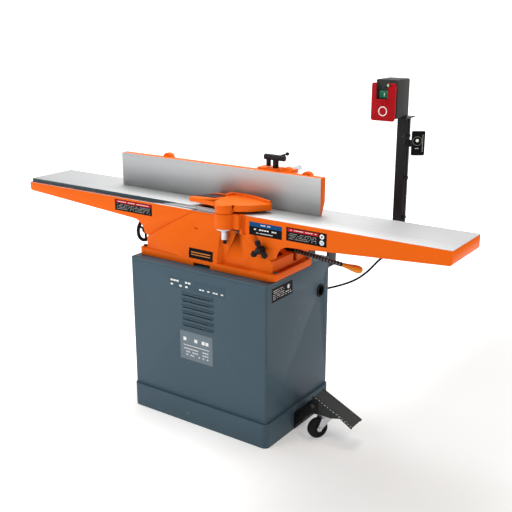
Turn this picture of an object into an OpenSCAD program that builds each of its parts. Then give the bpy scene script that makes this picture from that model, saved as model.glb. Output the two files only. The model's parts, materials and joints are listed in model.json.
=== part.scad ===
// Jointer on a closed steel stand: two cast tables on inclined ways, a four-knife cutterhead between them,
// a tilting fence, a sprung cutterhead guard, a pedestal switch and a built-in pedal caster.
// Origin: centre of the stand's footprint, on the floor. +X is the infeed end, -Y the operator, +Z up.

/* [Tables] */
// Overall length of the two tables
table_len = 1829; // [1820:1:1840]
// Width of the tables
table_w = 226; // [224:1:228]
// Height of the table tops above the floor
table_z = 818.5; // [818:0.5:819]
// Thickness of the table plate
plate_t = 14; // [12:0.5:14]
// Depth of the table ends
end_h = 48.5; // [46:0.5:50]
// Width of the rabbeting ledge along the front edge
ledge_w = 13.3; // [10:0.1:14]
// Drop of the rabbeting ledge
ledge_h = 14; // [10:0.5:14]

/* [Stand] */
// Cabinet width along the tables
cab_w = 611.2; // [606:0.2:614]
// Cabinet depth
cab_d = 419.4; // [416:0.2:422]
// Height of the cabinet top above the floor
cab_z = 605.8; // [605.8:0.1:606]
// Sheet thickness of the cabinet
sheet_t = 2.5; // [2:0.1:3]
// Height of the plinth
plinth_h = 92.7; // [90:0.1:94]
// How far the plinth stands proud of the cabinet
plinth_out = 7.2; // [6:0.1:8]
// Number of louvres in the front
louvre_n = 6; // [4:1:6]
// Diameter of the dust port spigot
port_d = 100; // [98:1:102]

/* [Cutterhead] */
// Body diameter of the cutterhead
head_d = 75; // [74:0.5:75]
// Number of knives
knife_n = 4; // [2:1:4]
// Length of the cutterhead body
head_len = 203; // [200:1:204]

/* [Fence] */
// Fence length
fence_len = 905; // [895:1:915]
// Fence height
fence_h = 128.8; // [126:0.2:130]
// Fence depth over its ribs
fence_t = 31; // [30:0.5:32]
// Where the fence face stands across the tables
fence_y = -16.2; // [-16.4:0.1:-16]

/* [Switch] */
// Side of the square switch post
post_w = 36; // [34:1:36]
// Top of the switch post
post_top = 1135; // [1130:1:1136]

/* [Mobile base] */
// Diameter of the swivel caster wheel
caster_d = 76; // [74:1:76]
// Diameter of the two fixed wheels
fixed_d = 50; // [48:1:52]

/* [Hidden] */
$fn = 64;

// running and slip clearances
gap = 0.5;
fit = 0.06;
tiny = 0.02;

// table outline, from the ends towards the cutterhead
out_end = -916;
in_end = out_end + table_len;
front_y = -146;
back_y = front_y + table_w;
strip_y = front_y + 18;
way_angle = 30;
way_foot_z = 676;
way_out_x = -270;
way_in_x = 278;
out_strip_x = -48;
in_strip_x = 176;
out_lip_x = -36;
in_lip_x = 46;
skirt_t = 12;
plate_z = table_z - plate_t;
under_mid_z = 733;
cove_r = 57;

// cutterhead axis
head_x = 5;
knife_out = 1.6;
knife_r = head_d / 2 + knife_out;
head_z = table_z - knife_r;
head_y0 = -127;
journal_r = 12.5;
head_pulley_y = 118;
pulley_w = 16;
head_pulley_r = 32;

// motor
motor_x = 150;
motor_z = 350;
motor_r = 82;
motor_y0 = -110;
motor_y1 = 92;
motor_pulley_r = 50;
shelf_z = motor_z - motor_r - 14;

// base casting
base_z0 = cab_z + 0.2;
flange_t = 25;
base_x0 = -276;
base_x1 = 285;
base_front_y = -148;
boss_front_y = -166;
base_back_y = 92.5;
seat_r = 23;
wall_t = 12;
rail_y = [-66, 16];
rail_w = 34;
keeper_y = [55.6, 69];
notch_x = [-40, 35];
stop_x = 140;
stop_z = 756;

// guard pivot
guard_x = 95;
guard_y = -157;
guard_hub_r = 33;
cup_r = 30;
cup_wall_y = -143;
guard_z0 = 827;
guard_z1 = 850;

// fence hinge axis and carriage
hinge_y = -2;
hinge_z = table_z + 12;
fence_z0 = table_z + 0.8;
fence_z1 = fence_z0 + fence_h;
fence_x0 = -513.4;
fence_x1 = fence_x0 + fence_len;
arm_x = [-85, 160];
arm_w = 20;
bed_z = 821.7;
block_z0 = bed_z + 0.4;
block_z1 = 838;
quadrant_r = [119.8, 130];
quadrant_x = 201;
quadrant_t = 8;

// infeed lever: its pivot, its short arm inside the bed and the tilt of its long rod
lever_x = 240;
lever_z = 681;
short_arm = 59;
short_angle = 72.5;
rod_tilt = 95.5;
lock_x = 247;
lock_z = 711;

// handwheel axis
wheel_y = -88;
wheel_z = 677;
wheel_r = 48;

// switch box
box_x0 = 495;
box_x1 = 573.4;
box_y0 = 155.6;
box_y1 = 246;
box_z0 = 1139;
box_z1 = 1266;
post_x = 556;
post_y = 255;
arm_z = 690;

// pedal and caster
pedal_pin_x = 394;
pedal_pin_z = 121;
pedal_y0 = -30;
pedal_y1 = 45;
cheek_y = [-36, 47];
swivel_x = 430;
swivel_y = -6;
trail = 34.5;
trail_angle = 240.5;
caster_z = caster_d / 2 + 1.5;
caster_x = swivel_x + trail * cos(trail_angle);
caster_y = swivel_y + trail * sin(trail_angle);
plinth_x = cab_w / 2 + plinth_out;
plinth_y = cab_d / 2 + plinth_out;
fixed_x = -262;
fixed_z = fixed_d / 2 + 1.5;
fixed_y = 150;

// motor cable: down the post, along its arm, a free hanging loop, into the gland behind the cabinet
cable_d = 8;
gland_x = 250;
gland_z = 455;
cable_route = [
    [579, 242, 1134.9], [579, 242, 1100], [579, 242, 1050], [579, 242, 1000], [579, 242, 950],
    [579, 242, 900], [579, 242, 850], [579, 242, 800], [579, 242, 750], [579, 242, 715],
    [579, 242, 697], [578.6, 242, 680], [574, 242, 663], [561, 242, 650], [543, 242, 643],
    [523, 242, 637], [505, 242, 627], [488, 243, 611], [472, 244, 592], [454, 245, 571], [434, 246, 551],
    [412, 248, 532], [388, 250, 515], [360, 252, 499], [330, 255, 484], [302, 259, 471],
    [280, 264, 461], [264, 265, 455], [254, 257, 453], [250, 245, 455], [250, 232, 455]
];

// ---------- shared shapes ----------

// rectangle centred on the origin with rounded corners
module rounded_rect(w, d, r) {
    square([w - 2 * r, d], center = true);
    square([w, d - 2 * r], center = true);
    for (sx = [-1, 1], sy = [-1, 1])
        translate([sx * (w / 2 - r), sy * (d / 2 - r)]) circle(r);
}

// prism of a flat outline drawn in x and z, between two y values
module along_y(y0, y1) {
    translate([0, y1, 0]) rotate([90, 0, 0]) linear_extrude(y1 - y0) children();
}

// prism of a flat outline drawn in y and z, between two x values
module along_x(x0, x1) {
    translate([x0, 0, 0]) rotate([90, 0, 90]) linear_extrude(x1 - x0) children();
}

// round bar along Y
module bar_y(x, z, r, y0, y1) {
    translate([x, y1, z]) rotate([90, 0, 0]) cylinder(r = r, h = y1 - y0);
}

// round bar along X
module bar_x(y, z, r, x0, x1) {
    translate([x0, y, z]) rotate([0, 90, 0]) cylinder(r = r, h = x1 - x0);
}

// box given by its low and high corners
module box(a, b) {
    translate(a) cube(b - a);
}

// points of an arc, for outlines
function arc(cx, cy, r, a0, a1, n) =
    [for (i = [0 : n]) [cx + r * cos(a0 + (a1 - a0) * i / n), cy + r * sin(a0 + (a1 - a0) * i / n)]];

// height of the inclined ways at x, on each side
function way_out(x) = way_foot_z + (x - way_out_x) * tan(way_angle);
function way_in(x) = way_foot_z + (way_in_x - x) * tan(way_angle);

// outline of a belt around two pulleys, grown by e
module belt_outline(xa, za, ra, xb, zb, rb, e) {
    len = norm([xb - xa, zb - za]);
    dir = atan2(zb - za, xb - xa);
    lean = acos((ra - rb) / len);
    translate([xa, za]) circle(ra + e);
    translate([xb, zb]) circle(rb + e);
    polygon([
        [xa + (ra + e) * cos(dir + lean), za + (ra + e) * sin(dir + lean)],
        [xb + (rb + e) * cos(dir + lean), zb + (rb + e) * sin(dir + lean)],
        [xb + (rb + e) * cos(dir - lean), zb + (rb + e) * sin(dir - lean)],
        [xa + (ra + e) * cos(dir - lean), za + (ra + e) * sin(dir - lean)]
    ]);
}

// V pulley on a Y axis, its groove floor 8 mm below the rim
module v_pulley(x, z, r, y, bore) {
    translate([x, y, z]) rotate([-90, 0, 0])
        rotate_extrude() polygon([[bore, 0], [r, 0], [r, 2.5], [r - 8, 5.2], [r - 8, pulley_w - 5.2],
            [r, pulley_w - 2.5], [r, pulley_w], [bore, pulley_w]]);
}

// hexagon-headed screw pointing down, its head's seat at z
module screw_down(x, y, z, r, len) {
    translate([x, y, z]) cylinder(r = 1.8 * r, h = 1.4 * r, $fn = 6);
    translate([x, y, z - len]) cylinder(r = r, h = len + 0.1, $fn = 24);
}

// ---------- stand ----------

module cabinet_shell() {
    color([0.22, 0.29, 0.33]) difference() {
        union() {
            translate([0, 0, plinth_h]) linear_extrude(505 - (plinth_h - 92.7)) rounded_rect(cab_w, cab_d, 8);
            louvre_hoods();
        }
        translate([0, 0, plinth_h - 1]) linear_extrude(510)
            rounded_rect(cab_w - 2 * sheet_t, cab_d - 2 * sheet_t, 6);
        // slots under the louvre hoods
        for (i = [0 : louvre_n - 1])
            box([-60, -cab_d / 2 - 1, 386 + 23.3 * i], [77, -cab_d / 2 + 5, 391 + 23.3 * i]);
        // mains inlet, dust outlet, motor cable and the opening behind the rear panel
        bar_x(147, 490, 20, cab_w / 2 - 6, cab_w / 2 + 1);
        bar_x(-20, 300, port_d / 2 + 1, -cab_w / 2 - 1, -cab_w / 2 + 6);
        bar_y(gland_x, gland_z, 8, cab_d / 2 - 6, cab_d / 2 + 1);
        box([-190, cab_d / 2 - 6, 160], [190, cab_d / 2 + 1, 520]);
    }
}

// pressed hoods over the louvre slots
module louvre_hoods() {
    for (i = [0 : louvre_n - 1])
        translate([0, 0, 392 + 23.3 * i]) difference() {
            bar_x(-cab_d / 2 + 1, 0, 6, -63, 80);
            box([-64, -cab_d / 2 - 8, -8], [81, -cab_d / 2 + 8, 0]);
        }
}

module cabinet_top() {
    color([0.20, 0.27, 0.31]) difference() {
        translate([0, 0, 598]) linear_extrude(cab_z - 598) rounded_rect(cab_w, cab_d, 8);
        translate([0, 0, 597]) linear_extrude(cab_z - 598 - 2)
            rounded_rect(cab_w - 2 * sheet_t, cab_d - 2 * sheet_t, 6);
        box([-52, -118, 590], [62, 60, 610]);
        box([-30, 98, 590], [118, 146, 610]);
        for (p = bolt_places) translate([p[0], p[1], 590]) cylinder(r = 4.3, h = 20);
    }
}

// skirt with an inward ledge and a brace across the floor
module plinth() {
    w = 2 * plinth_x;
    d = 2 * plinth_y;
    color([0.22, 0.29, 0.33]) {
        difference() {
            linear_extrude(plinth_h) rounded_rect(w, d, 22);
            translate([0, 0, -1]) linear_extrude(plinth_h - 3) rounded_rect(w - 8, d - 8, 18);
            translate([0, 0, plinth_h - 10]) linear_extrude(12) rounded_rect(w - 140, d - 200, 10);
        }
        box([-30, -plinth_y + 3, 0], [30, plinth_y - 3, 3]);
    }
}

module rear_panel() {
    color([0.22, 0.29, 0.33]) difference() {
        union() {
            translate([0, cab_d / 2 + 2.2, 340]) rotate([90, 0, 0]) linear_extrude(2)
                rounded_rect(430, 410, 14);
            for (i = [0 : 5]) box([-90, cab_d / 2 + 2.1, 400 + 18 * i], [90, cab_d / 2 + 6, 404 + 18 * i]);
        }
        for (i = [0 : 5]) box([-86, cab_d / 2 - 1, 395 + 18 * i], [86, cab_d / 2 + 7, 399.9 + 18 * i]);
        for (p = panel_screw_places) bar_y(p[0], p[1], 3.2, cab_d / 2 - 1, cab_d / 2 + 3);
    }
}
panel_screw_places = [for (x = [-200, 200], z = [150, 340, 530]) [x, z]];

module panel_screws() {
    color([0.75, 0.76, 0.78]) for (p = panel_screw_places) {
        bar_y(p[0], p[1], 3, cab_d / 2 + 0.1, cab_d / 2 + 2.4);
        translate([p[0], cab_d / 2 + 2.3, p[1]]) rotate([-90, 0, 0]) cylinder(r = 6, h = 3.5, $fn = 32);
    }
}

module dust_port() {
    x = -cab_w / 2;
    color([0.12, 0.12, 0.13]) difference() {
        union() {
            bar_x(-20, 300, port_d / 2 + 22, x - 3.2, x - 0.1);
            bar_x(-20, 300, port_d / 2, x - 62, x + 5);
        }
        bar_x(-20, 300, port_d / 2 - 2.2, x - 63, x + 6);
        for (a = [45 : 90 : 315])
            bar_x(-20 + (port_d / 2 + 13) * cos(a), 300 + (port_d / 2 + 13) * sin(a), 2.6, x - 4, x + 1);
    }
}

// bent sheet duct from under the cutterhead to the dust port
module chip_chute() {
    x = -cab_w / 2 + sheet_t + 3;
    color([0.45, 0.46, 0.47]) difference() {
        along_y(-112, 50) polygon([[-48, 604], [58, 604], [40, 440], [-120, 238], [x, 238],
            [x, 362], [-150, 362], [-48, 470]]);
        along_y(-110, 48) polygon([[-46, 606], [56, 606], [38, 440.7], [-121, 240], [x - 1, 240],
            [x - 1, 360], [-149, 360], [-46, 469]]);
    }
}

module side_grommet() {
    color([0.08, 0.08, 0.08]) translate([cab_w / 2, 147, 490]) rotate([0, 90, 0])
        rotate_extrude() polygon([[17.5, -5], [19.9, -5], [19.9, 0.1], [24.5, 0.1], [24.5, 2.5],
            [22.5, 4], [19, 4], [17.5, 2.5]]);
}

module cable_gland() {
    y = cab_d / 2;
    color([0.08, 0.08, 0.09]) difference() {
        union() {
            bar_y(gland_x, gland_z, 7.8, y - 8, y + 1);
            translate([gland_x, y + 0.1, gland_z]) rotate([-90, 0, 0]) cylinder(r = 13, h = 7, $fn = 6);
            bar_y(gland_x, gland_z, 9.5, y + 7, y + 16);
            translate([gland_x, y + 16, gland_z]) rotate([-90, 0, 0])
                cylinder(r1 = 8, r2 = 5.4, h = 232 - y - 16 - 0.1, $fn = 32);
        }
        bar_y(gland_x, gland_z, cable_d / 2 - 0.2, y - 9, 233);
    }
}

// ---------- bed ----------

bolt_places = [[-294, -140], [296, -140], [-294, 70], [296, 70]];

// side view of the casting above its flange
module base_profile() {
    polygon([[base_x0, base_z0], [base_x0, 670], [way_out_x, way_foot_z - gap],
        [out_strip_x + gap, way_out(out_strip_x) - gap], [out_strip_x + gap, table_z - gap],
        [in_strip_x - gap, table_z - gap], [in_strip_x - gap, way_in(in_strip_x) - gap],
        [way_in_x, way_foot_z - gap], [base_x1, 670], [base_x1, base_z0]]);
}

// outer body: side view, plan and leaning front together
module base_body() {
    intersection() {
        along_y(-175, base_back_y) base_profile();
        translate([0, 0, 600]) linear_extrude(230) polygon([[base_x0, base_front_y], [-95, boss_front_y],
            [66, boss_front_y], [75, cup_wall_y], [176, cup_wall_y], [base_x1, base_front_y],
            [base_x1, base_back_y], [base_x0, base_back_y]]);
        along_x(base_x0 - 1, base_x1 + 1) polygon([[boss_front_y, 600], [boss_front_y, 650],
            [front_y, 790], [front_y, 830], [base_back_y, 830], [base_back_y, 600]]);
    }
}

// hollows of the casting: two end bays, and the cutterhead trough open at top and bottom
module base_hollows() {
    y0 = front_y + 16;
    y1 = base_back_y - wall_t;
    box([base_x0 + 10, y0, base_z0 + 10], [-64, y1, 840]);
    box([74, y0, base_z0 + 10], [base_x1 - 10, y1, 840]);
    box([-52, y0, 600], [62, y1, 840]);
    // slot in the end wall for the infeed lever
    box([base_x1 - 12, -11, 640], [base_x1 + 1, 11, 700]);
    // notch between the feet of the front boss
    box([notch_x[0], -175, 600], [notch_x[1], front_y + 17, 618]);
}

// side view of the two pairs of rails, below the tables' feet
module rail_profile() {
    polygon([[base_x0 + 5, base_z0], [base_x0 + 5, 670], [way_out_x, way_foot_z - gap],
        [-60, way_out(-60) - gap], [-60, base_z0]]);
    polygon([[70, base_z0], [70, way_in(70) - gap], [way_in_x, way_foot_z - gap],
        [base_x1 - 5, 670], [base_x1 - 5, base_z0]]);
}

// inclined way rails inside the two bays
module way_rails() {
    for (y = rail_y) along_y(y, y + rail_w) rail_profile();
}

module base_casting() {
    color([0.94, 0.40, 0.12]) difference() {
        union() {
            difference() {
                base_body();
                base_hollows();
            }
            way_rails();
            base_flange();
            guard_shelf();
        }
        // pivot of the infeed lever through the rails
        bar_y(lever_x, lever_z, 8 + fit, rail_y[0] - 1, rail_y[1] + rail_w + 1);
        // bearing seats
        bar_y(head_x, head_z, seat_r + tiny, front_y + 2.4, front_y + 18);
        bar_y(head_x, head_z, seat_r + tiny, base_back_y - wall_t - 1, 98);
        // rabbeting ledge carried across the boss
        box([out_strip_x - 1, -170, table_z - gap - ledge_h], [43, front_y + ledge_w, 830]);
        // cove between the boss and the infeed table's face
        translate([in_strip_x - 2, front_y - 6, 748]) cylinder(r = 18, h = 90);
        // guard post bore, lift screw bore and holding-down bolts
        translate([guard_x, guard_y, 740]) cylinder(r = 9.7 + fit, h = 90);
        bar_x(wheel_y, wheel_z, 9 + fit, base_x0 - 1, base_x0 + 20);
        for (p = bolt_places) translate([p[0], p[1], 600]) cylinder(r = 4.3, h = 40);
        // pocket of the spring cup, small slot in the boss and the stop screw's hole
        intersection() {
            translate([guard_x, guard_y, 747]) cylinder(r = cup_r + 0.6, h = 19);
            box([guard_x - 40, -200, 740], [guard_x + 40, cup_wall_y, 770]);
        }
        box([-42, -170, 739], [-26, -148, 745]);
        bar_y(stop_x, stop_z, 4 + fit, -150, -125);
        // room for the tables' lips above the inner walls
        box([-66, front_y + 18, way_out(-66) - 3], [-50, base_back_y + 1, 830]);
        box([60, front_y + 18, way_in(76) - 3], [76, base_back_y + 1, 830]);
        box([-53, front_y + 18, plate_z - 1], [63, base_back_y + 1, 830]);
    }
}

module base_flange() {
    difference() {
        translate([0.5, -35.5, base_z0]) linear_extrude(flange_t) rounded_rect(609, 265, 24);
        box([base_x0 + 10, front_y + 16, 600], [-64, base_back_y - wall_t, 640]);
        box([74, front_y + 16, 600], [base_x1 - 10, base_back_y - wall_t, 640]);
        box([-52, front_y + 16, 600], [62, base_back_y - wall_t, 640]);
        box([notch_x[0], -175, 600], [notch_x[1], front_y + 17, 618]);
    }
}

// round shelf that carries the guard pivot
module guard_shelf() {
    intersection() {
        union() {
            translate([guard_x, guard_y, 766]) cylinder(r = 36, h = table_z - gap - 766);
            box([guard_x - 36, guard_y, 766], [in_strip_x - gap - 22, front_y + 10, table_z - gap]);
        }
        box([0, -200, 760], [in_strip_x - gap, front_y + 10, table_z - gap]);
    }
}

module base_bolts() {
    color([0.15, 0.15, 0.15]) {
        for (p = bolt_places) screw_down(p[0], p[1], base_z0 + flange_t + 0.1, 4, 40);
        // stop screw in the bed's front
        bar_y(stop_x, stop_z, 4, cup_wall_y - 0.5, -127);
        translate([stop_x, cup_wall_y - 0.15, stop_z]) rotate([90, 0, 0]) cylinder(r = 6.5, h = 5.5, $fn = 6);
    }
}

module bearing_housings() {
    color([0.55, 0.56, 0.57]) for (y = [[front_y + 2.5, front_y + 15.5], [base_back_y - wall_t + 1, 97]])
        difference() {
            bar_y(head_x, head_z, seat_r, y[0], y[1]);
            bar_y(head_x, head_z, 19 + tiny, y[0] + 1.5, y[1] + 1);
            bar_y(head_x, head_z, journal_r + 1, y[0] - 1, y[1] + 1);
        }
}

module ball_bearings() {
    color([0.80, 0.81, 0.82]) for (y = [front_y + 4.2, base_back_y - wall_t + 3]) difference() {
        bar_y(head_x, head_z, 19, y, y + 11);
        bar_y(head_x, head_z, journal_r + fit, y - 1, y + 12);
        bar_y_ring(head_x, head_z, 14.5, 17, y + 9.5, y + 12);
    }
}

// ring-shaped recess along Y
module bar_y_ring(x, z, r0, r1, y0, y1) {
    difference() {
        bar_y(x, z, r1, y0, y1);
        bar_y(x, z, r0, y0 - 1, y1 + 1);
    }
}

// gib strips that take up play beside the inner rail
module table_gibs() {
    y = rail_y[1] + rail_w;
    color([0.55, 0.56, 0.57]) {
        along_y(y + 0.1, y + 5) polygon([[-250, way_out(-250) - 24], [-250, way_out(-250) - 4],
            [-90, way_out(-90) - 4], [-90, way_out(-90) - 24]]);
        along_y(y + 0.1, y + 5) polygon([[258, way_in(258) - 24], [258, way_in(258) - 4],
            [98, way_in(98) - 4], [98, way_in(98) - 24]]);
    }
}

// ---------- tables ----------

// side view of a whole outfeed table, its foot resting along the way
module outfeed_profile(x1) {
    polygon(concat(
        [[x1, table_z], [out_end, table_z], [out_end, table_z - end_h + 6], [out_end + 6, table_z - end_h]],
        [[-345, under_mid_z]],
        arc(-345, under_mid_z - cove_r, cove_r, 90, 8, 10),
        [[way_out_x, way_foot_z + gap], [x1, way_out(x1) + gap]]));
}

module infeed_profile(x1) {
    polygon(concat(
        [[x1, table_z], [in_end, table_z], [in_end, table_z - end_h + 6], [in_end - 6, table_z - end_h]],
        [[352, under_mid_z]],
        arc(352, under_mid_z - cove_r, cove_r, 90, 172, 10),
        [[way_in_x, way_foot_z + gap], [x1, way_in(x1) + gap]]));
}

// walls and ribs under a table: front and back skirts, a long rib and cross ribs at the x values
module table_web(cross, runner_x0, runner_x1) {
    box([-950, front_y, 600], [950, front_y + skirt_t, plate_z + 1]);
    box([-950, back_y - skirt_t, 600], [950, back_y, plate_z + 1]);
    difference() {
        box([-950, -56, 600], [950, -46, plate_z + 1]);
        box([runner_x0 - 60, -60, 600], [runner_x1 + 60, -40, plate_z - 60]);
    }
    for (x = cross) box([x - 5, front_y, 600], [x + 5, back_y, plate_z + 1]);
    for (y = rail_y) box([runner_x0, y, 600], [runner_x1, y + rail_w, plate_z + 1]);
}

// bevel under a table's lip at x, the table lying on side s
module lip_bevel(x, s) {
    along_y(front_y - 1, back_y + 1)
        polygon([[x + 8 * s, plate_z - 1], [x - s, plate_z - 1], [x - s, plate_z + 8]]);
}

module outfeed_table() {
    color([0.94, 0.40, 0.12]) difference() {
        union() {
            intersection() {
                along_y(front_y, back_y) outfeed_profile(out_lip_x);
                union() {
                    box([out_end, front_y, plate_z], [out_lip_x, back_y, table_z]);
                    box([out_end, front_y, 700], [out_end + skirt_t, back_y, table_z]);
                    table_web([-790, -665, -540, -415], -262, -80);
                }
            }
            // keeper beside the gib, and the lug that the lift screw pushes
            along_y(keeper_y[0], keeper_y[1]) polygon([[-240, way_out(-240) - 20], [-240, way_out(-240) + 12],
                [-110, way_out(-110) + 12], [-110, way_out(-110) - 20]]);
            box([-205, wheel_y - 16, 655], [-185, wheel_y + 16, plate_z + 1]);
        }
        // rabbeting ledge, and the front strip that stops short at the boss
        box([out_end - 1, front_y - 1, table_z - ledge_h], [out_lip_x + 1, front_y + ledge_w, table_z + 1]);
        box([out_strip_x, front_y - 1, 700], [out_lip_x + 1, strip_y + gap, table_z + 1]);
        lip_bevel(out_lip_x, -1);
        // slot in the lug, tall enough for the table's fall
        box([-206, wheel_y - 9.6, 664], [-184, wheel_y + 9.6, 698]);
    }
}

module infeed_table() {
    tip_x = lever_x + short_arm * cos(short_angle);
    tip_z = lever_z + short_arm * sin(short_angle);
    color([0.94, 0.40, 0.12]) difference() {
        union() {
            intersection() {
                along_y(front_y, back_y) infeed_profile(in_lip_x);
                union() {
                    box([in_lip_x, front_y, plate_z], [in_end, back_y, table_z]);
                    box([in_end - skirt_t, front_y, 700], [in_end, back_y, table_z]);
                    table_web([787, 662, 537, 412], 90, 262);
                    for (y = [-22, 9]) box([tip_x - 18, y, tip_z - 15], [tip_x + 18, y + 13, plate_z + 1]);
                }
            }
            along_y(keeper_y[0], keeper_y[1]) polygon([[248, way_in(248) - 20], [248, way_in(248) + 12],
                [118, way_in(118) + 12], [118, way_in(118) - 20]]);
        }
        box([in_lip_x - 1, front_y - 1, 700], [in_strip_x, strip_y + gap, table_z + 1]);
        lip_bevel(in_lip_x, 1);
        // room for the lever, and the eyes that its short arm pushes
        box([lever_x - 34, rail_y[0] + rail_w + 0.1, 600], [310, rail_y[1] - 0.1, tip_z - 21]);
        box([lever_x - 34, -58, 600], [310, -31, tip_z - 21]);
        bar_y(tip_x, tip_z, 9, -23, 23);
        // seat of the lock handle's screw
        bar_y(lock_x, lock_z, 6 + fit, front_y - 1, front_y + skirt_t + 1);
    }
}

module lift_screw() {
    color([0.62, 0.63, 0.64]) {
        bar_x(wheel_y, wheel_z, 9, -318, -130);
        bar_x(wheel_y, wheel_z, 13, -296, base_x0 - 0.5);
    }
}

// spoked handwheel on the end of the lift screw
module handwheel() {
    color([0.10, 0.10, 0.11]) translate([-338, wheel_y, wheel_z]) rotate([0, 90, 0]) difference() {
        union() {
            rotate_extrude() translate([wheel_r - 7, 0]) circle(7, $fn = 32);
            translate([0, 0, -8]) cylinder(r = 15, h = 26);
            for (a = [0 : 120 : 240]) rotate([90, 0, a + 30]) cylinder(r = 5, h = wheel_r - 8, $fn = 24);
        }
        translate([0, 0, 4]) cylinder(r = 9 + tiny, h = 20);
    }
}

// three-armed lock handle on the infeed table
module infeed_lock() {
    color([0.10, 0.10, 0.11]) {
        bar_y(lock_x, lock_z, 6, front_y - 4, front_y + skirt_t + 4);
        bar_y(lock_x, lock_z, 12, front_y - 32, front_y - gap);
        for (a = [102, 216, 330]) translate([lock_x, front_y - 23, lock_z]) rotate([0, 90 - a, 0]) {
            cylinder(r = 6.5, h = 26);
            translate([0, 0, 18]) cylinder(r1 = 8, r2 = 10.5, h = 6);
            translate([0, 0, 23.9]) cylinder(r1 = 10.5, r2 = 8.5, h = 11);
        }
    }
}

// raising lever of the infeed table, pivoted on the rails
module infeed_lever() {
    color([0.10, 0.10, 0.11]) {
        bar_y(lever_x, lever_z, 8, rail_y[0] + 1, rail_y[1] + rail_w - 1);
        bar_y(lever_x, lever_z, 15, -10, 10);
        translate([lever_x, 0, lever_z]) rotate([0, 90 - short_angle, 0]) {
            box([-7, -7, 0], [7, 7, short_arm]);
            bar_y(0, short_arm, 6, -21, 21);
            bar_y(0, short_arm, 7, -7, 7);
        }
        translate([lever_x, 0, lever_z]) rotate([0, rod_tilt, 0]) {
            cylinder(r = 6.5, h = 250);
            for (i = [0 : 15]) translate([0, 0, 44 + 12 * i]) cylinder(r = 8.2, h = 7);
        }
    }
}

module lever_grip() {
    color([0.93, 0.57, 0.16]) translate([lever_x, 0, lever_z]) rotate([0, rod_tilt, 0])
        rotate_extrude() polygon([[6.5 + tiny, 239], [7.6, 239], [9.2, 252], [11.4, 270], [13.2, 288],
            [13.2, 297], [11.2, 305], [7, 310], [0, 311.5], [0, 251], [6.5 + tiny, 251]]);
}

// ---------- cutterhead and drive ----------

module cutterhead() {
    color([0.66, 0.67, 0.68]) difference() {
        union() {
            bar_y(head_x, head_z, head_d / 2, head_y0, head_y0 + head_len);
            bar_y(head_x, head_z, journal_r, front_y + 5, head_pulley_y + pulley_w + 4);
        }
        for (i = [0 : knife_n - 1]) translate([head_x, 0, head_z]) rotate([0, i * 360 / knife_n, 0])
            box([-9, head_y0 - 1, head_d / 2 - 17], [5, head_y0 + head_len + 1, head_d / 2 + 5]);
    }
}

module knives() {
    color([0.85, 0.86, 0.87]) for (i = [0 : knife_n - 1])
        translate([head_x, 0, head_z]) rotate([0, i * 360 / knife_n, 0])
            along_y(head_y0, head_y0 + head_len) polygon([[1.9, head_d / 2 - 17], [4.9, head_d / 2 - 17],
                [4.9, head_d / 2 - 1], [1.9, knife_r - 0.1]]);
}

module knife_gibs() {
    color([0.35, 0.35, 0.36]) for (i = [0 : knife_n - 1])
        translate([head_x, 0, head_z]) rotate([0, i * 360 / knife_n, 0]) {
            along_y(head_y0, head_y0 + head_len) polygon([[-8.9, head_d / 2 - 17], [1.8, head_d / 2 - 17],
                [1.8, head_d / 2 - 3], [-2, head_d / 2 - 2.5], [-8.9, head_d / 2 - 5]]);
            for (k = [0 : 4]) translate([-4, head_y0 + 22 + 39 * k, head_d / 2 - 4]) rotate([0, -12, 0])
                cylinder(r = 4, h = 2.4, $fn = 6);
        }
}

module cutterhead_pulley() {
    color([0.50, 0.51, 0.52]) v_pulley(head_x, head_z, head_pulley_r, head_pulley_y, journal_r + tiny);
}

module motor_pulley() {
    color([0.50, 0.51, 0.52]) {
        v_pulley(motor_x, motor_z, motor_pulley_r, head_pulley_y, 9);
        bar_y(motor_x, motor_z, 9.5, motor_y0 + 30, head_pulley_y + pulley_w + 3);
    }
}

module drive_belt() {
    mid = head_pulley_y + pulley_w / 2;
    ra = head_pulley_r - 8;
    rb = motor_pulley_r - 8;
    color([0.09, 0.09, 0.09]) along_y(mid - 2.2, mid + 2.2) difference() {
        belt_outline(head_x, head_z, ra, motor_x, motor_z, rb, 7);
        belt_outline(head_x, head_z, ra, motor_x, motor_z, rb, 0.6);
    }
}

// cover over the pulley and belt behind the bed
module belt_guard() {
    color([0.12, 0.12, 0.13]) difference() {
        along_y(99, 146) union() {
            polygon([[-42, cab_z + 0.2], [116, cab_z + 0.2], [64, head_z], [-42, head_z]]);
            translate([head_x, head_z - 8]) circle(45);
        }
        along_y(97, 144) union() {
            polygon([[-40, cab_z - 1], [113.5, cab_z - 1], [62, head_z], [-40, head_z]]);
            translate([head_x, head_z - 8]) circle(43);
        }
    }
}

module motor() {
    color([0.13, 0.14, 0.15]) difference() {
        union() {
            bar_y(motor_x, motor_z, motor_r - 6, motor_y0, motor_y1);
            for (a = [0 : 15 : 345]) translate([motor_x, 0, motor_z]) rotate([0, a, 0])
                box([motor_r - 8, motor_y0 + 34, -1.2], [motor_r - 1, motor_y1 - 20, 1.2]);
            bar_y(motor_x, motor_z, motor_r, motor_y0, motor_y0 + 30);
            bar_y(motor_x, motor_z, motor_r - 3, motor_y1 - 18, motor_y1);
            box([motor_x + 40, -60, motor_z + 40], [motor_x + 110, 30, motor_z + 92]);
            for (y = [-62, 36]) box([motor_x - 70, y, shelf_z + 6.1], [motor_x + 70, y + 24, motor_z - 50]);
        }
        bar_y(motor_x, motor_z, 9.5 + 0.3, motor_y0 + 29, motor_y1 + 1);
    }
}

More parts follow.
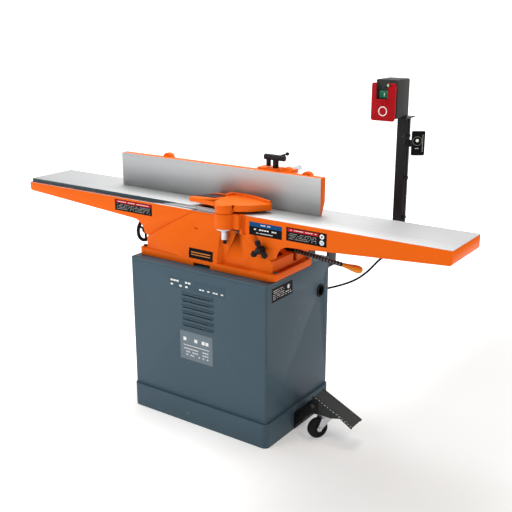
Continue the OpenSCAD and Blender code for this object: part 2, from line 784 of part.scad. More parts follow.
module motor_bracket() {
    x1 = cab_w / 2 - sheet_t - 0.1;
    color([0.40, 0.41, 0.42]) {
        box([motor_x - 90, -80, shelf_z], [x1, 80, shelf_z + 6]);
        box([x1 - 6, -80, shelf_z - 90], [x1, 80, shelf_z + 0.1]);
        for (y = [-78, 72]) along_y(y, y + 6) polygon([[x1 - 5, shelf_z + 0.1], [x1 - 5, shelf_z - 85],
            [motor_x + 20, shelf_z + 0.1]]);
    }
}

// ---------- guard ----------

// plan of the guard's main blade: fence side rim, rounded tip, infeed edge, hub
module guard_plan() {
    polygon(concat([[44, -148], [30, -60], [34, -25], [81, -22], [139, -31], [197, -55]],
        arc(222, -69, 8, 60, -30, 6), [[188, -124], [150, -152], [128, -160], [66, -160]]));
}

// plan of the flat wing over the outfeed side
module wing_plan() {
    polygon([[-77, -138], [-32, -27], [36, -25], [50, -60], [62, -150], [-70, -142]]);
}

module guard() {
    color([0.96, 0.44, 0.14]) difference() {
        union() {
            translate([0, 0, guard_z0]) linear_extrude(guard_z1 - guard_z0) guard_plan();
            translate([0, 0, guard_z0 + 7]) linear_extrude(guard_z1 - guard_z0 - 8) wing_plan();
            translate([guard_x, guard_y, table_z + 0.4]) cylinder(r = guard_hub_r, h = guard_z1 - table_z - 0.4);
            // rim along the fence side
            translate([0, 0, guard_z1 - 1]) linear_extrude(11) polygon([[30, -60], [34, -25], [81, -22],
                [139, -31], [197, -55], [222, -61], [221, -67], [194, -62], [136, -38], [82, -29], [42, -32],
                [37, -60]]);
        }
        // hollow underside
        translate([0, 0, guard_z0 - 1]) linear_extrude(guard_z1 - guard_z0 - 4) difference() {
            polygon([[52, -118], [38, -60], [42, -34], [81, -30], [138, -39], [193, -61], [214, -72],
                [182, -118]]);
            translate([guard_x, guard_y]) circle(guard_hub_r + 1);
        }
        translate([guard_x, guard_y, 800]) cylinder(r = 8 + tiny, h = 40);
    }
}

module guard_post() {
    color([0.62, 0.63, 0.64]) {
        translate([guard_x, guard_y, 742]) cylinder(r = 8, h = 98);
        translate([guard_x, guard_y, 742]) cylinder(r = 9.7, h = table_z - 742);
    }
}

module guard_spring_cup() {
    color([0.72, 0.73, 0.74]) translate([guard_x, guard_y, 0]) difference() {
        union() {
            translate([0, 0, 760]) cylinder(r = cup_r, h = 5.9);
            translate([0, 0, 724]) cylinder(r = 13.6, h = 37);
            translate([0, 0, 748]) cylinder(r1 = 13.6, r2 = 19, h = 12.1);
        }
        translate([0, 0, 728]) cylinder(r = 11, h = 40);
        // flat against the casting's wall
        box([-40, cup_wall_y - guard_y - 0.3, 720], [40, 60, 780]);
    }
}

module guard_cap() {
    color([0.08, 0.08, 0.08]) translate([guard_x, guard_y, 708])
        rotate_extrude() polygon([[0, 0], [5, 0], [7, 2], [7, 15.9], [0, 15.9]]);
}

// ---------- fence ----------

// two slide beds behind the casting, joined at the back
module fence_support() {
    y = base_back_y + 0.2;
    color([0.94, 0.40, 0.12]) {
        for (x = [[-105, -65], [125, 155]])
            along_x(x[0], x[1]) polygon([[y, 700], [y, bed_z], [232, bed_z], [232, 795], [y + 22, 700]]);
        box([-105, 196, 775], [155, 232, 797]);
    }
}

module fence_carriage() {
    color([0.94, 0.40, 0.12]) difference() {
        union() {
            box([-112, 30, block_z0], [215, 215, block_z1]);
            for (x = arm_x) {
                bar_x(hinge_y, hinge_z, 7.8, x - arm_w / 2, x + arm_w / 2);
                box([x - arm_w / 2, hinge_y, hinge_z - 7.8], [x + arm_w / 2, 31, hinge_z + 7.4]);
            }
            // keys that straddle the slide beds
            box([-112, 100, 800], [-105.4, 215, block_z0 + 1]);
            box([-64.6, 100, 800], [-54, 130, block_z0 + 1]);
            translate([50, 150, block_z1 - 1]) cylinder(r = 22, h = 13);
        }
        for (x = arm_x) bar_x(hinge_y, hinge_z, 4 + fit, x - 20, x + 20);
        box([-40, 60, block_z0 - 1], [110, 190, block_z1 - 8]);
    }
}

// curved bar that the fence lug slides along when the fence tilts
module tilt_quadrant() {
    color([0.62, 0.63, 0.64]) along_x(quadrant_x, quadrant_x + quadrant_t) translate([hinge_y, hinge_z])
        polygon(concat(arc(0, 0, quadrant_r[1], 4, 67, 18), arc(0, 0, quadrant_r[0], 67, 4, 18),
            [[108, block_z1 - hinge_z + 0.05], [142, block_z1 - hinge_z + 0.05]]));
}

// section of the fence's ribs, leaning in towards the table at the back
module fence_rib() {
    polygon([[fence_y, fence_z0], [-7, fence_z0], [-3, fence_z0 + 5], [fence_y + fence_t, fence_z0 + 44],
        [fence_y + fence_t, fence_z1], [fence_y, fence_z1]]);
}

module fence() {
    back = fence_y + fence_t;
    color([0.94, 0.40, 0.12]) difference() {
        union() {
            box([fence_x0, fence_y, fence_z0], [fence_x1, fence_y + 12, fence_z1]);
            box([fence_x0, fence_y, fence_z1 - 11], [fence_x1, back, fence_z1]);
            for (x = [fence_x0, -430, -330, -230, -130, 6, 106, 260, 350, fence_x1 - 10])
                along_x(x, x + 10) fence_rib();
            for (x = arm_x, s = [-1, 1])
                bar_x(hinge_y, hinge_z, 11, x + s * (arm_w / 2 + 10.6) - 10, x + s * (arm_w / 2 + 10.6) + 10);
            // lifting ears at the back of the top edge
            for (p = [[-301, 943], [319, 939]]) {
                bar_y(p[0], p[1], 20, 8, 24);
                translate([p[0], 24, p[1]]) sphere(r = 20, $fn = 48);
            }
            // lug that slides on the quadrant, and the eye of the handle bar
            box([115, back - 4, 940], [255, 60, 954]);
            bar_y(232, 944, 19, back - 2, 40);
        }
        for (x = arm_x) {
            bar_x(hinge_y, hinge_z, 4 + tiny, x - 45, x + 45);
            bar_x(hinge_y, hinge_z, 8.4, x - arm_w / 2 - 0.6, x + arm_w / 2 + 0.6);
            box([x - arm_w / 2 - 0.6, hinge_y - 3, fence_z0 - 1], [x + arm_w / 2 + 0.6, back + 1, hinge_z + 14]);
            box([x - arm_w / 2 - 0.6, fence_y + 12, fence_z0 - 1], [x + arm_w / 2 + 0.6, back + 1, hinge_z + 34]);
        }
        box([quadrant_x - 1, back, 930], [quadrant_x + quadrant_t + 1, 62, 960]);
        box([quadrant_x - 1, -20, fence_z1 - 0.05], [quadrant_x + quadrant_t + 1, 62, 960]);
        bar_y(232, 944, 14 + tiny, back + 0.5, 61);
        translate([181, 30, 930]) cylinder(r = 8 + fit, h = 30);
    }
}

module hinge_pins() {
    color([0.62, 0.63, 0.64]) for (x = arm_x) bar_x(hinge_y, hinge_z, 4, x - 32, x + 32);
}

// T lever that clamps the fence's lug to the quadrant
module fence_lock() {
    color([0.10, 0.10, 0.11]) {
        translate([181, 30, 935]) cylinder(r = 8, h = 30);
        translate([181, 30, 954.4]) cylinder(r = 10.5, h = 30);
        bar_x(30, 990.5, 10.5, 136, 219);
        translate([151, 30, 958]) cylinder(r = 8.5, h = 26);
        translate([204, 30, 1000]) rotate([0, 73, 0]) cylinder(r = 3, h = 22, $fn = 24);
        translate([229, 30, 1008]) sphere(r = 6.5, $fn = 32);
    }
}

module fence_handle() {
    color([0.80, 0.81, 0.82]) bar_y(232, 944, 14, fence_y + fence_t + 0.6, 105);
}

// ---------- switch ----------

module switch_post() {
    p = post_w / 2;
    color([0.10, 0.10, 0.11]) {
        difference() {
            translate([post_x, post_y, arm_z - p]) linear_extrude(post_top - arm_z + p)
                rounded_rect(post_w, post_w, 4);
            translate([post_x, post_y, arm_z + p]) linear_extrude(post_top) square(post_w - 5, center = true);
        }
        // arm under the infeed table and its plate on the cabinet's back
        along_x(200, post_x) translate([post_y, arm_z]) rounded_rect(post_w, post_w, 4);
        box([190, cab_d / 2 + 0.3, 560], [302, cab_d / 2 + 5.3, 600]);
        box([200, cab_d / 2 + 0.3, 560], [300, post_y + p, 566]);
        for (x = [202, 292]) box([x, cab_d / 2 + 0.3, 560], [x + 6, post_y + p, arm_z]);
        // plate that carries the switch box
        box([box_x0 + 4, 200, post_top], [587, 276, post_top + 3.8]);
    }
}

module switch_box() {
    color([0.13, 0.13, 0.14]) difference() {
        union() {
            translate([0, box_y1, 0]) rotate([90, 0, 0]) translate([(box_x0 + box_x1) / 2, (box_z0 + box_z1) / 2, 0])
                linear_extrude(box_y1 - box_y0) rounded_rect(box_x1 - box_x0, box_z1 - box_z0, 5);
            box([box_x0 + 8, box_y1 - 1, box_z0 + 10], [box_x1 - 8, 258, box_z1 - 10]);
            // hinge pin of the stop paddle and its two lugs
            for (x = [[484, 502], [559.5, 576]]) bar_x(box_y0 - 6, 1244, 1.44, x[0], x[1]);
            for (x = [496, 560]) box([x, box_y0 - 8.5, 1240], [x + 5.5, box_y0 + 1, 1248]);
        }
        // wells of the button and lamp
        translate([0, box_y0 + 14, 0]) rotate([90, 0, 0]) translate([528, 1217, 0]) linear_extrude(20)
            rounded_rect(38.4, 26.4, 3);
        bar_y(541, 1247, 5 + tiny, box_y0 - 1, box_y0 + 8);
        bar_y(541, 1247, 6.5, box_y0 - 1, box_y0 + 0.2);
    }
}

module switch_lamp() {
    color([0.2, 0.8, 0.4]) {
        bar_y(541, 1247, 5, box_y0 - 4, box_y0 + 7.5);
        translate([541, box_y0 - 4, 1247]) sphere(r = 5, $fn = 32);
    }
}

module start_button() {
    color([0.06, 0.41, 0.27]) {
        translate([0, box_y0 + 6, 0]) rotate([90, 0, 0]) translate([528, 1217, 0]) linear_extrude(11)
            rounded_rect(37.4, 25.4, 3);
    }
}

// hinged stop paddle with a window over the start button
module stop_paddle() {
    y0 = box_y0 - 17;
    y1 = box_y0 - 12.5;
    color([0.68, 0.10, 0.14]) {
        difference() {
            union() {
                translate([0, y1, 0]) rotate([90, 0, 0]) translate([530, 1194, 0]) linear_extrude(y1 - y0)
                    rounded_rect(86, 124, 8);
                for (x = [[487, 491.5], [568.5, 573]]) {
                    box([x[0], y1 - 1, 1140], [x[1], box_y0 - 9.5, 1240]);
                    box([x[0], y1 - 1, 1239], [x[1], box_y0 - 4, 1249]);
                }
                for (x = [[487, 493], [567, 573]]) bar_x(box_y0 - 6, 1244, 3.4, x[0], x[1]);
            }
            box([503, y0 - 1, 1203], [546, y1 + 1, 1260]);
            bar_y(541, 1247, 8, y0 - 1, y1 + 1);
            bar_x(box_y0 - 6, 1244, 1.5, 480, 580);
        }
    }
}

module sign_plate() {
    color([0.08, 0.08, 0.09]) {
        translate([post_x + post_w / 2 + 14, post_y - 6, 1049]) rotate([90, 0, 35])
            translate([24, 0, 0]) linear_extrude(2.4) rounded_rect(46, 84, 5);
        box([post_x + post_w / 2 + 0.1, post_y - 8, 1037], [post_x + post_w / 2 + 19, post_y - 5, 1061]);
    }
}

module cable_clips() {
    color([0.06, 0.06, 0.06]) for (z = [1075, 930, 790]) difference() {
        box([post_x + post_w / 2 + 0.1, 236, z - 5], [585.5, 248, z + 5]);
        translate([579, 242, z - 6]) cylinder(r = cable_d / 2 + 0.3, h = 12);
    }
}

// unit direction of the route at point i
function route_dir(p, i) =
    let (a = p[max(i - 1, 0)], b = p[min(i + 1, len(p) - 1)]) (b - a) / norm(b - a);

// smooth rings between the hand-set points
function smooth_route(p, k) = concat([for (i = [0 : len(p) - 2], j = [0 : k - 1])
    let (t = j / k, m0 = (p[min(i + 1, len(p) - 1)] - p[max(i - 1, 0)]) / 2,
         m1 = (p[min(i + 2, len(p) - 1)] - p[i]) / 2)
    (2 * t * t * t - 3 * t * t + 1) * p[i] + (t * t * t - 2 * t * t + t) * m0
        + (3 * t * t - 2 * t * t * t) * p[i + 1] + (t * t * t - t * t) * m1], [p[len(p) - 1]]);

// tube of n sides swept along points p
module swept_tube(p, r, n) {
    side = [0, 1, 0];
    rings = [for (i = [0 : len(p) - 1])
        let (d = route_dir(p, i), s0 = abs(d * side) > 0.9 ? [1, 0, 0] : side,
             u = cross(d, s0) / norm(cross(d, s0)), v = cross(d, u))
        for (k = [0 : n - 1]) p[i] + r * cos(360 * k / n) * u + r * sin(360 * k / n) * v];
    polyhedron(rings, concat([[for (k = [0 : n - 1]) k]],
        [for (i = [0 : len(p) - 2], k = [0 : n - 1])
            [i * n + k, (i + 1) * n + k, (i + 1) * n + (k + 1) % n, i * n + (k + 1) % n]],
        [[for (k = [n - 1 : -1 : 0]) (len(p) - 1) * n + k]]));
}

module motor_cable() {
    color([0.08, 0.08, 0.08]) swept_tube(smooth_route(cable_route, 3), cable_d / 2, 10);
}

// ---------- mobile base ----------

module pedal_bracket() {
    x = plinth_x + 0.2;
    color([0.16, 0.17, 0.18]) difference() {
        union() {
            box([x, cheek_y[0], 4], [x + 5, 118, 67]);
            box([x, cheek_y[0], 64], [x + 15, 83, 67.4]);
            // two arms that rise to the pedal's pin, cut away below for the turning caster
            for (y = cheek_y) along_y(y, y + 4)
                polygon([[x + 4.9, 16], [x + 4.9, 74], [383, 131], [390, 140], [409, 140], [409, 92],
                    [380, 84], [366, 72], [352, 50]]);
            bar_y(331, 60, 4.5, cheek_y[0] - 3, cheek_y[0] + 0.1);
            translate([x + 4.9, 100, 46]) rotate([0, 90, 0]) cylinder(r = 6, h = 4.6, $fn = 6);
        }
        bar_y(pedal_pin_x, pedal_pin_z, 5 + tiny, -45, 60);
    }
}

module pedal_pin() {
    color([0.62, 0.63, 0.64]) {
        bar_y(pedal_pin_x, pedal_pin_z, 5, cheek_y[0] - 2, cheek_y[1] + 6);
        bar_y(pedal_pin_x, pedal_pin_z, 8, cheek_y[0] - 4.4, cheek_y[0] - 0.4);
        bar_y(pedal_pin_x, pedal_pin_z, 8, cheek_y[1] + 4.4, cheek_y[1] + 8.4);
    }
}

pedal_top = [391, 154];
pedal_end = [550, 78];
pedal_slope = atan2(pedal_top[1] - pedal_end[1], pedal_end[0] - pedal_top[0]);

module foot_pedal() {
    plate = norm(pedal_end - pedal_top);
    color([0.21, 0.22, 0.22]) difference() {
        union() {
            // tread plate
            translate([pedal_top[0], pedal_y0, pedal_top[1]]) rotate([0, pedal_slope, 0])
                translate([0, 0, -3]) cube([plate, pedal_y1 - pedal_y0, 3]);
            // side webs with the eyes of the pin
            for (y = [pedal_y0, pedal_y1 - 4]) along_y(y, y + 4) union() {
                polygon([[384, 108], [394, 88], [466, 88], [500, 97],
                    [pedal_end[0] - 4, pedal_end[1] - 9], pedal_end, pedal_top, [384, 150]]);
                translate([pedal_pin_x, pedal_pin_z]) circle(12.7);
            }
            // floor between the webs for the caster plate
            box([392, pedal_y0, 87.6], [468, pedal_y1, 91]);
        }
        bar_y(pedal_pin_x, pedal_pin_z, 5 + fit, pedal_y0 - 1, pedal_y1 + 1);
        // anti-slip holes along both edges of the tread
        for (i = [0 : 11], y = [pedal_y0 + 9, pedal_y1 - 9]) translate(pedal_tread(12 + i * 13.5, y))
            rotate([0, pedal_slope, 0]) cylinder(r = 2.6, h = 20, center = true, $fn = 24);
    }
}
function pedal_tread(s, y) = [pedal_top[0] + s * cos(pedal_slope), y, pedal_top[1] - s * sin(pedal_slope)];

module caster_plate() {
    color([0.72, 0.73, 0.74]) {
        difference() {
            box([swivel_x - 36, pedal_y0 + 1, 84.2], [swivel_x + 36, 24, 87.5]);
            translate([swivel_x, swivel_y, 80]) cylinder(r = 6 + fit, h = 20);
        }
        for (x = [-28, 28], y = [-13, 17]) translate([swivel_x + x, y, 91.1]) cylinder(r = 6, h = 4, $fn = 6);
    }
}

// swivelling fork: race, top, two cheeks and the axle bolt
module caster_fork() {
    color([0.75, 0.76, 0.78]) translate([swivel_x, swivel_y, 0]) {
        translate([0, 0, 79.5]) cylinder(r = 21, h = 4.2);
        translate([0, 0, 79.5]) cylinder(r = 6, h = 7.9);
        rotate([0, 0, trail_angle]) {
            box([-14, -17, 77.2], [26, 17, 80]);
            for (y = [-17, 14.5]) along_y(y, y + 2.5) union() {
                polygon([[-14, 80], [-14, 70], [trail - 9, caster_z - 4], [trail + 9, caster_z - 2], [26, 80]]);
                translate([trail, caster_z]) circle(10);
            }
            bar_y(trail, caster_z, 5, -21, 21);
            for (y = [-22, 17]) translate([trail, y + 5, caster_z]) rotate([90, 0, 0])
                cylinder(r = 7.5, h = 5, $fn = 6);
        }
    }
}

// wheel on a Y axis: hub, web and tyre
module wheel_y_axis(r, w, bore) {
    hub = bore + 4;
    rim = r - min(12, (r - hub) / 2);
    rotate([90, 0, 0]) rotate_extrude() polygon([[bore, -w / 2 - 1], [hub, -w / 2 - 1], [hub, -w / 4],
        [rim - 1, -w / 4], [rim, -w / 2], [r - 3, -w / 2], [r, -w / 4], [r, w / 4], [r - 3, w / 2],
        [rim, w / 2], [rim - 1, w / 4], [hub, w / 4], [hub, w / 2 + 1], [bore, w / 2 + 1]]);
}

module caster_wheel() {
    color([0.09, 0.09, 0.10]) translate([swivel_x, swivel_y, 0]) rotate([0, 0, trail_angle])
        translate([trail, 0, caster_z]) wheel_y_axis(caster_d / 2, 24, 5 + fit);
}

module front_wheel() {
    color([0.09, 0.09, 0.10]) translate([fixed_x, -fixed_y, fixed_z]) wheel_y_axis(fixed_d / 2, 22, 5 + fit);
}

module rear_wheel() {
    color([0.09, 0.09, 0.10]) translate([fixed_x, fixed_y, fixed_z]) wheel_y_axis(fixed_d / 2, 22, 5 + fit);
}

// axles and hangers of the fixed wheels, inside the plinth
module wheel_axles() {
    color([0.50, 0.51, 0.52]) for (y = [-fixed_y, fixed_y]) {
        bar_y(fixed_x, fixed_z, 5, y - 20, y + 20);
        for (s = [-18, 14]) box([fixed_x - 16, y + s, fixed_z - 10], [fixed_x + 16, y + s + 4, plinth_h - 4.1]);
    }
}

cabinet_shell();
cabinet_top();
plinth();
rear_panel();
panel_screws();
dust_port();
chip_chute();
side_grommet();
cable_gland();
base_casting();
base_bolts();
bearing_housings();
ball_bearings();
table_gibs();
motor();
motor_bracket();
motor_pulley();
drive_belt();
belt_guard();
outfeed_table();
lift_screw();
handwheel();
infeed_table();
infeed_lever();
lever_grip();
infeed_lock();
cutterhead();
knives();
knife_gibs();
cutterhead_pulley();
guard();
guard_post();
guard_spring_cup();
guard_cap();
fence_support();
fence_carriage();
tilt_quadrant();
fence();
hinge_pins();
fence_lock();
fence_handle();
switch_post();
switch_box();
switch_lamp();
start_button();
stop_paddle();
sign_plate();
cable_clips();
motor_cable();
pedal_bracket();
pedal_pin();
foot_pedal();
caster_plate();
caster_fork();
caster_wheel();
front_wheel();
rear_wheel();
wheel_axles();
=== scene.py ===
# %% [markdown]
# # A jointer, dressed
# The machine's shapes and moving parts come from a solid model. This lesson gives that model its looks:
# ground iron, enamel, powder coat, zinc, rubber and moulded plastic. Everything is in metres.
# +X is the infeed end, -Y the side where the operator stands, and the floor is at Z = 0.

# %% the frame, read from model.glb and model.json
import json
import math
import bpy
import bmesh
import numpy as np
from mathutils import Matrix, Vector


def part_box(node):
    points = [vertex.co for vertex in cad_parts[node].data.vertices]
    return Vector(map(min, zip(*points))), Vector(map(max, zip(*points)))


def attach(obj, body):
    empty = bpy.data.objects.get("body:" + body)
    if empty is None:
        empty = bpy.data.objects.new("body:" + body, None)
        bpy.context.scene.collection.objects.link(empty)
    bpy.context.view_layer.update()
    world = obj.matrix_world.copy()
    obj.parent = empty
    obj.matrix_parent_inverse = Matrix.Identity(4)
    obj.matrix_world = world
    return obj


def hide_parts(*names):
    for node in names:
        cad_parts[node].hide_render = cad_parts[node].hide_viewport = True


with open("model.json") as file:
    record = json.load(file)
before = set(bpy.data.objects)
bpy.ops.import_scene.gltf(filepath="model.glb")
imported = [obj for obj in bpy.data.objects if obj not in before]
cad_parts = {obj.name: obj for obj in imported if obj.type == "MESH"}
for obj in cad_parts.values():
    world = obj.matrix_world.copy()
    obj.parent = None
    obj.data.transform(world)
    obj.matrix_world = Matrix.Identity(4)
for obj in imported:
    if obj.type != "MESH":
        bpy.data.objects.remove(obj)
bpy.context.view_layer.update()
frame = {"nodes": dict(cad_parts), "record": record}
MM = 0.001
BODY = {n: b for b, ns in frame["record"]["behaviour"]["bodies"].items() for n in ns}

# %% [markdown]
# The camera stands at the right front of the machine, a little above it, and looks down by 17 degrees.
# A long lens keeps the far table from shrinking too much.

# %% camera
lens = bpy.data.cameras.new("camera")
lens.lens, lens.sensor_width, lens.clip_end = 56.76, 36.0, 100.0
camera = bpy.data.objects.new("camera", lens)
camera.location = (1.71856, -2.30817, 1.48980)
camera.rotation_euler = (math.radians(90 - 17.0725), 0, math.radians(34.746))
bpy.context.scene.collection.objects.link(camera)
bpy.context.scene.camera = camera
print("camera", tuple(round(v, 2) for v in camera.location))

# %% [markdown]
# New pieces are grids of points worked out with numpy. One helper turns a grid of rows and columns into a
# mesh, with its rows or columns joined round.


# %% grids to meshes
def grid_faces(rows, cols, wrap_rows=False, wrap_cols=False):
    """Quads of a grid: corner (i, j) joins (i+1, j), (i+1, j+1) and (i, j+1), wrapping round where asked."""
    i, j = np.meshgrid(np.arange(rows if wrap_rows else rows - 1),
                       np.arange(cols if wrap_cols else cols - 1), indexing="ij")
    i, j = i.ravel(), j.ravel()
    i2, j2 = (i + 1) % rows, (j + 1) % cols
    return np.stack([i * cols + j, i2 * cols + j, i2 * cols + j2, i * cols + j2], axis=1)


def new_piece(name, points, faces, body, look, uv=None, smooth=True):
    """A mesh object from an array of points and a list of faces, riding on a body and wearing a finish."""
    mesh = bpy.data.meshes.new(name)
    mesh.from_pydata([], [], []) if len(points) == 0 else mesh.from_pydata(
        np.asarray(points, float).tolist(), [], [list(f) for f in faces])
    bm = bmesh.new()
    bm.from_mesh(mesh)
    bmesh.ops.remove_doubles(bm, verts=bm.verts, dist=1e-7)
    bmesh.ops.recalc_face_normals(bm, faces=bm.faces)
    bm.to_mesh(mesh)
    bm.free()
    mesh.polygons.foreach_set("use_smooth", np.full(len(mesh.polygons), smooth))
    if uv is not None:
        layer = mesh.uv_layers.new(name="face")
        co = np.zeros(len(mesh.vertices) * 3)
        mesh.vertices.foreach_get("co", co)
        loops = np.zeros(len(mesh.loops), int)
        mesh.loops.foreach_get("vertex_index", loops)
        layer.data.foreach_set("uv", uv(co.reshape(-1, 3)[loops]).ravel())
    piece = bpy.data.objects.new(name, mesh)
    bpy.context.scene.collection.objects.link(piece)
    mesh.materials.append(look)
    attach(piece, body)
    return piece


def turned(profile, start, axis, sides=48):
    """Points of a turned piece: at distance d along the axis from start, a ring of radius r, for each (r, d).
    A ring's point is start + d axis + r (cos t u + sin t v), where u and v stand square to the axis."""
    profile, start = np.asarray(profile, float) * MM, np.asarray(start, float) * MM
    axis = np.asarray(axis, float) / np.linalg.norm(axis)
    u = np.cross(axis, [0.31, 0.87, 0.39])
    u /= np.linalg.norm(u)
    v = np.cross(axis, u)
    t = np.linspace(0, 2 * np.pi, sides, endpoint=False)
    ring = np.cos(t)[:, None] * u + np.sin(t)[:, None] * v
    points = start + profile[:, 1, None, None] * axis + profile[:, 0, None, None] * ring
    return points.reshape(-1, 3), grid_faces(len(profile), sides, wrap_cols=True)


def bow(r0, r1, d0, d1, n=8, power=1.0):
    """A quarter-round piece of profile from (r0, d0) to (r1, d1): r follows a sine and d a cosine."""
    t = np.linspace(0, np.pi / 2, n)
    return np.stack([r0 + (r1 - r0) * np.sin(t) ** power, d0 + (d1 - d0) * (1 - np.cos(t))], axis=1).tolist()


def smooth_path(points, k):
    """A smooth path through given points: on each span a cubic that starts and ends with the mean slope
    of its neighbours, h00 p0 + h10 m0 + h01 p1 + h11 m1."""
    p = np.asarray(points, float)
    before, after = p[np.maximum(np.arange(len(p)) - 1, 0)], p[np.minimum(np.arange(len(p)) + 1, len(p) - 1)]
    m = (after - before) / 2
    t = (np.arange(k) / k)[None, :, None]
    p0, p1, m0, m1 = p[:-1, None], p[1:, None], m[:-1, None], m[1:, None]
    body = ((2 * t**3 - 3 * t**2 + 1) * p0 + (t**3 - 2 * t**2 + t) * m0
            + (3 * t**2 - 2 * t**3) * p1 + (t**3 - t**2) * m1)
    return np.concatenate([body.reshape(-1, 3), p[-1:]])


def tube(path, radius, sides, side=(1.0, 0.0, -1.0)):
    """A round tube: at each path point a ring of the radius, square to the path, turned from one fixed side."""
    way = np.gradient(path, axis=0)
    way /= np.linalg.norm(way, axis=1)[:, None]
    u = np.cross(way, side)
    u /= np.linalg.norm(u, axis=1)[:, None]
    v = np.cross(way, u)
    t = np.linspace(0, 2 * np.pi, sides, endpoint=False)
    rings = (path[:, None] + radius * (np.cos(t)[None, :, None] * u[:, None] + np.sin(t)[None, :, None] * v[:, None]))
    faces = grid_faces(len(path), sides, wrap_cols=True).tolist()
    faces += [list(range(sides))[::-1], [(len(path) - 1) * sides + i for i in range(sides)]]
    return rings.reshape(-1, 3), faces


# %% [markdown]
# Shader maths reads best as plain sums. A small class wraps a socket, so that a + b adds a Math node, and
# one method makes every other kind of node: its settings first, then the values or links of its sockets.


# %% sockets as sums
class Sock:
    """A shader output that takes part in Python sums."""

    def __init__(self, look, out):
        self.look, self.out = look, out

    def sum(self, how, a, b=0.0):
        return self.look.node("ShaderNodeMath", {"operation": how}, {0: a, 1: b})

    def __add__(self, o): return self.sum("ADD", self, o)
    def __radd__(self, o): return self.sum("ADD", o, self)
    def __sub__(self, o): return self.sum("SUBTRACT", self, o)
    def __rsub__(self, o): return self.sum("SUBTRACT", o, self)
    def __mul__(self, o): return self.sum("MULTIPLY", self, o)
    def __rmul__(self, o): return self.sum("MULTIPLY", o, self)
    def __truediv__(self, o): return self.sum("DIVIDE", self, o)
    def __rtruediv__(self, o): return self.sum("DIVIDE", o, self)
    def __pow__(self, o): return self.sum("POWER", self, o)
    def __gt__(self, o): return self.sum("GREATER_THAN", self, o)
    def __lt__(self, o): return self.sum("LESS_THAN", self, o)
    def __abs__(self): return self.sum("ABSOLUTE", self)
    def __neg__(self): return self.sum("MULTIPLY", self, -1.0)
    def fract(self): return self.sum("FRACT", self)
    def floor(self): return self.sum("FLOOR", self)
    def cos(self): return self.sum("COSINE", self)
    def most(self, o): return self.sum("MAXIMUM", self, o)
    def least(self, o): return self.sum("MINIMUM", self, o)
    def between(self, lo, hi): return (self > lo) * (self < hi)

    def ease(self, lo, hi):
        """0 below lo, 1 above hi, and a soft step between."""
        return self.look.node("ShaderNodeMapRange", {"interpolation_type": "SMOOTHSTEP"}, {0: self, 1: lo, 2: hi})


class Look:
    """One finish: a Principled surface and the nodes that vary it."""

    def __init__(self, name):
        self.mat = bpy.data.materials.new(name)
        self.mat.use_nodes = True
        self.tree = self.mat.node_tree
        self.tree.nodes.clear()
        self.end = self.tree.nodes.new("ShaderNodeOutputMaterial")
        self.skin = self.tree.nodes.new("ShaderNodeBsdfPrincipled")
        self.tree.links.new(self.skin.outputs[0], self.end.inputs[0])

    def plug(self, socket, value):
        if isinstance(value, Sock):
            self.tree.links.new(value.out, socket)
        elif isinstance(value, (tuple, list)):
            socket.default_value = tuple(value) + (1.0,) if len(socket.default_value) == 4 and len(value) == 3 else value
        else:
            socket.default_value = value

    def node(self, kind, settings=None, inputs=None, out=0):
        made = self.tree.nodes.new(kind)
        for key, value in (settings or {}).items():
            setattr(made, key, value)
        for key, value in (inputs or {}).items():
            self.plug(made.inputs[key], value)
        return Sock(self, made.outputs[out])

    def place(self):
        return self.node("ShaderNodeTexCoord", out="Object")

    def xyz(self, vector=None):
        vector = vector or self.place()
        return [self.node("ShaderNodeSeparateXYZ", {}, {0: vector}, out=i) for i in range(3)]

    def uv(self):
        return self.xyz(self.node("ShaderNodeUVMap", {"uv_map": "face"}))[:2]

    def stretched(self, x, y, z):
        return self.node("ShaderNodeVectorMath", {"operation": "MULTIPLY"}, {0: self.place(), 1: (x, y, z)})

    def noise(self, scale, detail=3.0, rough=0.55, vector=None):
        return self.node("ShaderNodeTexNoise", {}, {"Vector": vector or self.place(), "Scale": scale,
                                                    "Detail": detail, "Roughness": rough})

    def cells(self, scale, vector=None):
        return self.node("ShaderNodeTexVoronoi", {}, {"Vector": vector or self.place(), "Scale": scale})

    def mix(self, part, a, b):
        return self.node("ShaderNodeMix", {"data_type": "RGBA"}, {0: part, 6: a, 7: b}, out=2)

    def bump(self, height, strength, depth):
        return self.node("ShaderNodeBump", {}, {"Height": height, "Strength": strength, "Distance": depth})

    def wear(self, **sockets):
        names = {"colour": "Base Color", "rough": "Roughness", "metal": "Metallic", "normal": "Normal",
                 "coat": "Coat Weight", "coat_rough": "Coat Roughness", "sheen": "Sheen Weight",
                 "glow": "Emission Color", "glow_strength": "Emission Strength", "ior": "IOR",
                 "anisotropy": "Anisotropic", "specular": "Specular IOR Level"}
        for key, value in sockets.items():
            self.plug(self.skin.inputs[names[key]], value)
        return self.mat


def shade(colour, by):
    """A colour made lighter or darker by a factor."""
    return tuple(min(c * by, 1.0) for c in colour)


# %% [markdown]
# The stand is bent sheet with a blue-grey powder coat. A powder coat has a fine orange-peel skin, a soft
# gloss that changes a little over the panel, and a few pale rubs where dust and hands reach it.


# %% powder coat
def powder_coat(name, colour, rough=0.42, peel=0.16, gleam=0.14):
    k = Look(name)
    broad, fine = k.noise(3.5, 2), k.noise(520, 2, 0.5)
    rub_and_highlight = k.noise(38, 4, 0.7).ease(0.62, 0.80)
    tone = k.mix(broad, shade(colour, 0.90), shade(colour, 1.10))
    tone = k.mix(rub_and_highlight * 0.16, tone, (0.42, 0.46, 0.50))
    return k.wear(colour=tone, rough=rough + 0.12 * (broad - 0.5) + 0.10 * rub_and_highlight, specular=gleam,
                  normal=k.bump(fine, peel, 0.0004))


